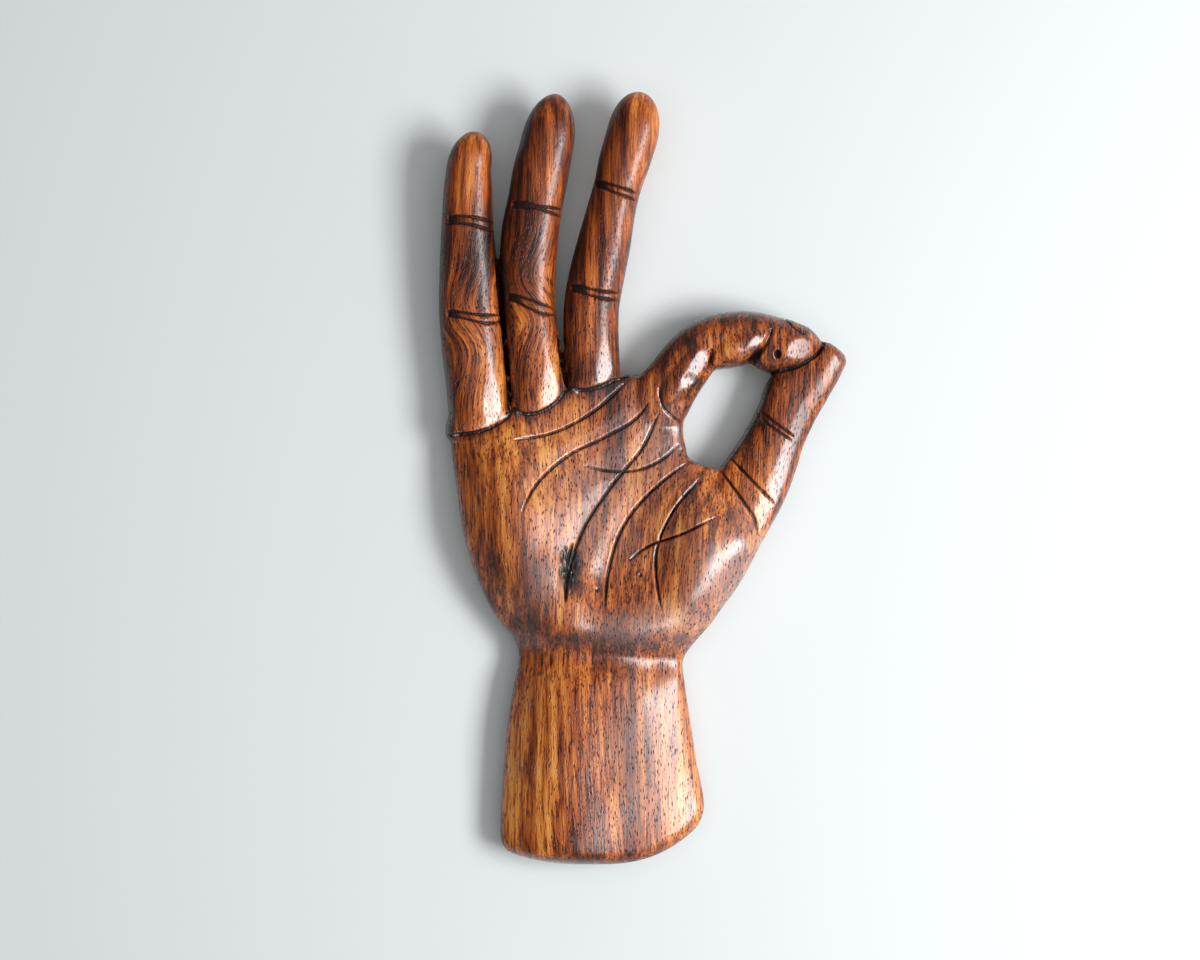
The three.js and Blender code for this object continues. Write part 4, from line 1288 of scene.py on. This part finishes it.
knot_spot = spot_mask(*KNOT)
ragged = noise(x_mm, 2.6, 7.0, detail=3.0, rough=0.7, shift=5.0)
knot = knot_spot * KNOT_CORE + (ragged - 0.5) * KNOT_FRAY - KNOT_LEVEL
charred = knot.between(0.0, 0.9) * knot_spot.between(0.05, 0.4)
wood_colour = laid_over(wood_colour, KNOT_COLOUR, charred)
print("the knot is", [2 * radius for radius in KNOT[1][:2]], "mm wide and long")

# %% The painted sheen
PAINTED_SHEEN_COLOUR = shade(186, 180, 180)
PAINTED_SHEEN_PLACES = [
    ((-18, -8, 20), (24, 26, 20), 0.2), ((-38, -38, 23), (9, 14, 20), 0.2),
    ((6, 14, 17), (12, 14, 20), 0.2), ((39, -28, 24), (9, 13, 20), 0.28),
    ((31, -43, 24), (11, 10, 20), 0.28), ((14, -54, 24), (15, 7, 20), 0.3),
    ((-8, -57, 25), (14, 6, 20), 0.22), ((20, -26, 28), (14, 14, 20), 0.06),
    ((5, -102, 20), (14, 25, 30), 0.24),
]
# A painted sheen: pale grey laid over the colour in soft spots, kept off the cuts, the pores and the knot.
painted_sheen = sum(spot_mask(centre, radii) * share for centre, radii, share in PAINTED_SHEEN_PLACES)
wood_colour = laid_over(wood_colour, PAINTED_SHEEN_COLOUR, painted_sheen * (1 - stain_and_shade_in_cuts) * (1 - pore) * (1 - charred))
print("the film lies on", len(PAINTED_SHEEN_PLACES), "places")

# %% [markdown]
# ## The lacquer
# The lacquer is a clear coat over the stained wood. It sank into the pores and the cuts, it was rubbed
# thin on the straight fingers, it is dull in a few places, and it is satin where the shine spreads
# wide. One even gloss would be simpler, but it would shine in hard, narrow lines. So the weight of the
# coat and the roughness below it change from place to place, and a fine bump lets the pores and
# fibres break up the light.

# %% Where the lacquer shines less
SATIN_PLACES = [
    ((-20, -12, 20), (30, 28, 20)), ((3, -108, 20), (14, 40, 30)), ((14, -54, 24), (24, 9, 20)),
    ((26, -36, 24), (20, 22, 20)), ((66, 24, 18), (10, 34, 20)), ((36, 47, 20), (34, 12, 20)),
    ((-38, 44, 20), (40, 18, 20)),
]
DULL_PLACES = [
    ((6, -112, 20), (18, 38, 30)), ((-24, -14, 20), (18, 20, 20)), ((-10, -148, 16), (50, 12, 30)),
    ((66, 24, 18), (12, 36, 20)),
]
RUBBED_FROM_Y, BESIDE_INDEX, INDEX_LATER_BY = (42.0, 68.0), (-8.0, 4.0), 40
satin, dulled = (sum(spot_mask(*spot) for spot in spots) for spots in (SATIN_PLACES, DULL_PLACES))
rubbed = (y_mm - x_mm.between(*BESIDE_INDEX) * INDEX_LATER_BY).between(*RUBBED_FROM_Y)
print(len(SATIN_PLACES), "satin places,", len(DULL_PLACES), "dull places")

# %% The lacquer
SMOOTHEST = 0.2
ROUGHER = [
    (fibre, 0.08), (pore, 0.25), (stain_and_shade_in_cuts, 0.2), (satin, 0.34), (rubbed, 0.12), (dulled, 0.04),
    (deep, 0.35),
]
THINNER = [(leftward.between(0.1, 0.7), 0.7), (rubbed, 0.72), (dulled, 0.65)]
SUNK_IN_PORES, SUNK_IN_CUTS, SUNK_DEEP = 0.85, 0.5, 0.95
FIBRE_RELIEF, BUMP_STRENGTH, BUMP_HEIGHT = 0.8, 0.9, 0.00025
roughness, coat = SMOOTHEST, 1
for pattern, amount in ROUGHER:
    roughness = roughness + pattern * amount
for pattern, amount in THINNER:
    coat = coat - pattern * amount
filled = (1 - pore * SUNK_IN_PORES - stain_and_shade_in_cuts * SUNK_IN_CUTS).math("MAXIMUM", 0.0)
relief = fibre * FIBRE_RELIEF - pore
bump = place.node("ShaderNodeBump", Strength=BUMP_STRENGTH, Distance=BUMP_HEIGHT, Height=relief)
sockets = {
    "Base Color": wood_colour, "Roughness": roughness, "Normal": bump,
    "Coat Weight": filled * coat * (1 - deep * SUNK_DEEP),
    "Specular IOR Level": 0.45, "Coat Roughness": 0.26, "Coat IOR": 1.65,
}
lacquer = place.node("ShaderNodeBsdfPrincipled", **sockets)
surface = wood_tree.nodes.new("ShaderNodeOutputMaterial")
feed(wood_tree, surface.inputs["Surface"], lacquer)
for piece in pieces.values():
    piece.data.materials.append(wood)
print("the finish has", len(wood_tree.nodes), "nodes")

# %% [markdown]
# ## Floor, light and camera
# The hand lies on a plain pale floor. A large soft lamp at its right gives the shadows and the broad
# shine, a smaller one in front only adds shine, and one overhead with the room's walls fills the
# shadows. One strong lamp would do for the shadows, but lacquer shows what is around it, so the room
# is darker at the left. The camera looks straight down, as the photograph does.

# %% The floor
FLOOR_SIZE = 3.0
FLOOR_DROP = 0.0003
bpy.ops.mesh.primitive_plane_add(size=FLOOR_SIZE, location=(0, 0, -FLOOR_DROP))
floor = bpy.context.object
floor.name = "floor"
paper = bpy.data.materials.new("pale_floor")
paper.use_nodes = True
paper_shader = paper.node_tree.nodes["Principled BSDF"]
paper_shader.inputs["Base Color"].default_value = shade(228, 234, 235)
paper_shader.inputs["Roughness"].default_value = 0.7
floor.data.materials.append(paper)
floor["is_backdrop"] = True
print("floor:", FLOOR_SIZE, "m wide")


# %% The lamps
KEY = dict(spot=(0.807, -0.135, 0.878), size=(0.7, 0.4), power=13.6)
FRONT = dict(spot=(0.52, -0.6, 0.95), size=(0.5, 0.5), power=5.0)
FILL = dict(spot=(0, 0, 1.5), size=(2.0, 2.0), power=10.6)


def soft_lamp(name, spot, size, power):
    """A lamp with a broad face that looks at the middle of the hand."""
    face = bpy.data.lights.new(name, "AREA")
    face.shape = "RECTANGLE"
    face.size, face.size_y = size
    face.energy = power
    lamp = bpy.data.objects.new(name, face)
    lamp.location = spot
    lamp.rotation_euler = (-lamp.location).to_track_quat("-Z", "Y").to_euler()
    bpy.context.scene.collection.objects.link(lamp)
    print(name, "lamp:", power, "W")
    return lamp


soft_lamp("key", **KEY)
soft_lamp("front", **FRONT).visible_diffuse = False
soft_lamp("fill", **FILL).visible_glossy = False

# %% The room
ROOM_TINT = (0.94, 0.97, 1.0, 1.0)
CEILING, WALLS = 0.04, 0.6
LEFT_SHARE, RIGHT_SHARE = 0.26, 1.1
world = bpy.data.worlds.new("room")
world.use_nodes = True
world_tree = world.node_tree
direction = add_node(world_tree, "ShaderNodeTexCoord", out="Generated")
below = 1 - along_axis(direction, 2).between(-0.2, 1.0)
right = along_axis(direction, 0).between(-1.0, 1.0)
side = LEFT_SHARE + right * (RIGHT_SHARE - LEFT_SHARE)
background = world_tree.nodes["Background"]
background.inputs["Color"].default_value = ROOM_TINT
feed(world_tree, background.inputs["Strength"], (CEILING + below * WALLS) * side)
bpy.context.scene.world = world
print("the room has", len(world_tree.nodes), "nodes")

# %% The camera
CAMERA_HEIGHT = 0.85
CAMERA_X = -0.01625
LENS = 64.56
SENSOR = 36
camera_data = bpy.data.cameras.new("camera")
camera_data.lens = LENS
camera_data.sensor_width = SENSOR
camera = bpy.data.objects.new("camera", camera_data)
camera.location = (CAMERA_X, 0, CAMERA_HEIGHT)
bpy.context.scene.collection.objects.link(camera)
bpy.context.scene.camera = camera
bpy.context.scene.view_settings.view_transform = "Standard"
print("camera at", CAMERA_HEIGHT, "m with a lens of", LENS, "mm")

# %% Gather the sizes
sizes = dict(cad=[list(corner) for corner in cad_box], visual=[list(corner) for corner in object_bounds()])
print("visual box in mm:", [[round(c / MM, 2) for c in corner] for corner in sizes["visual"]])
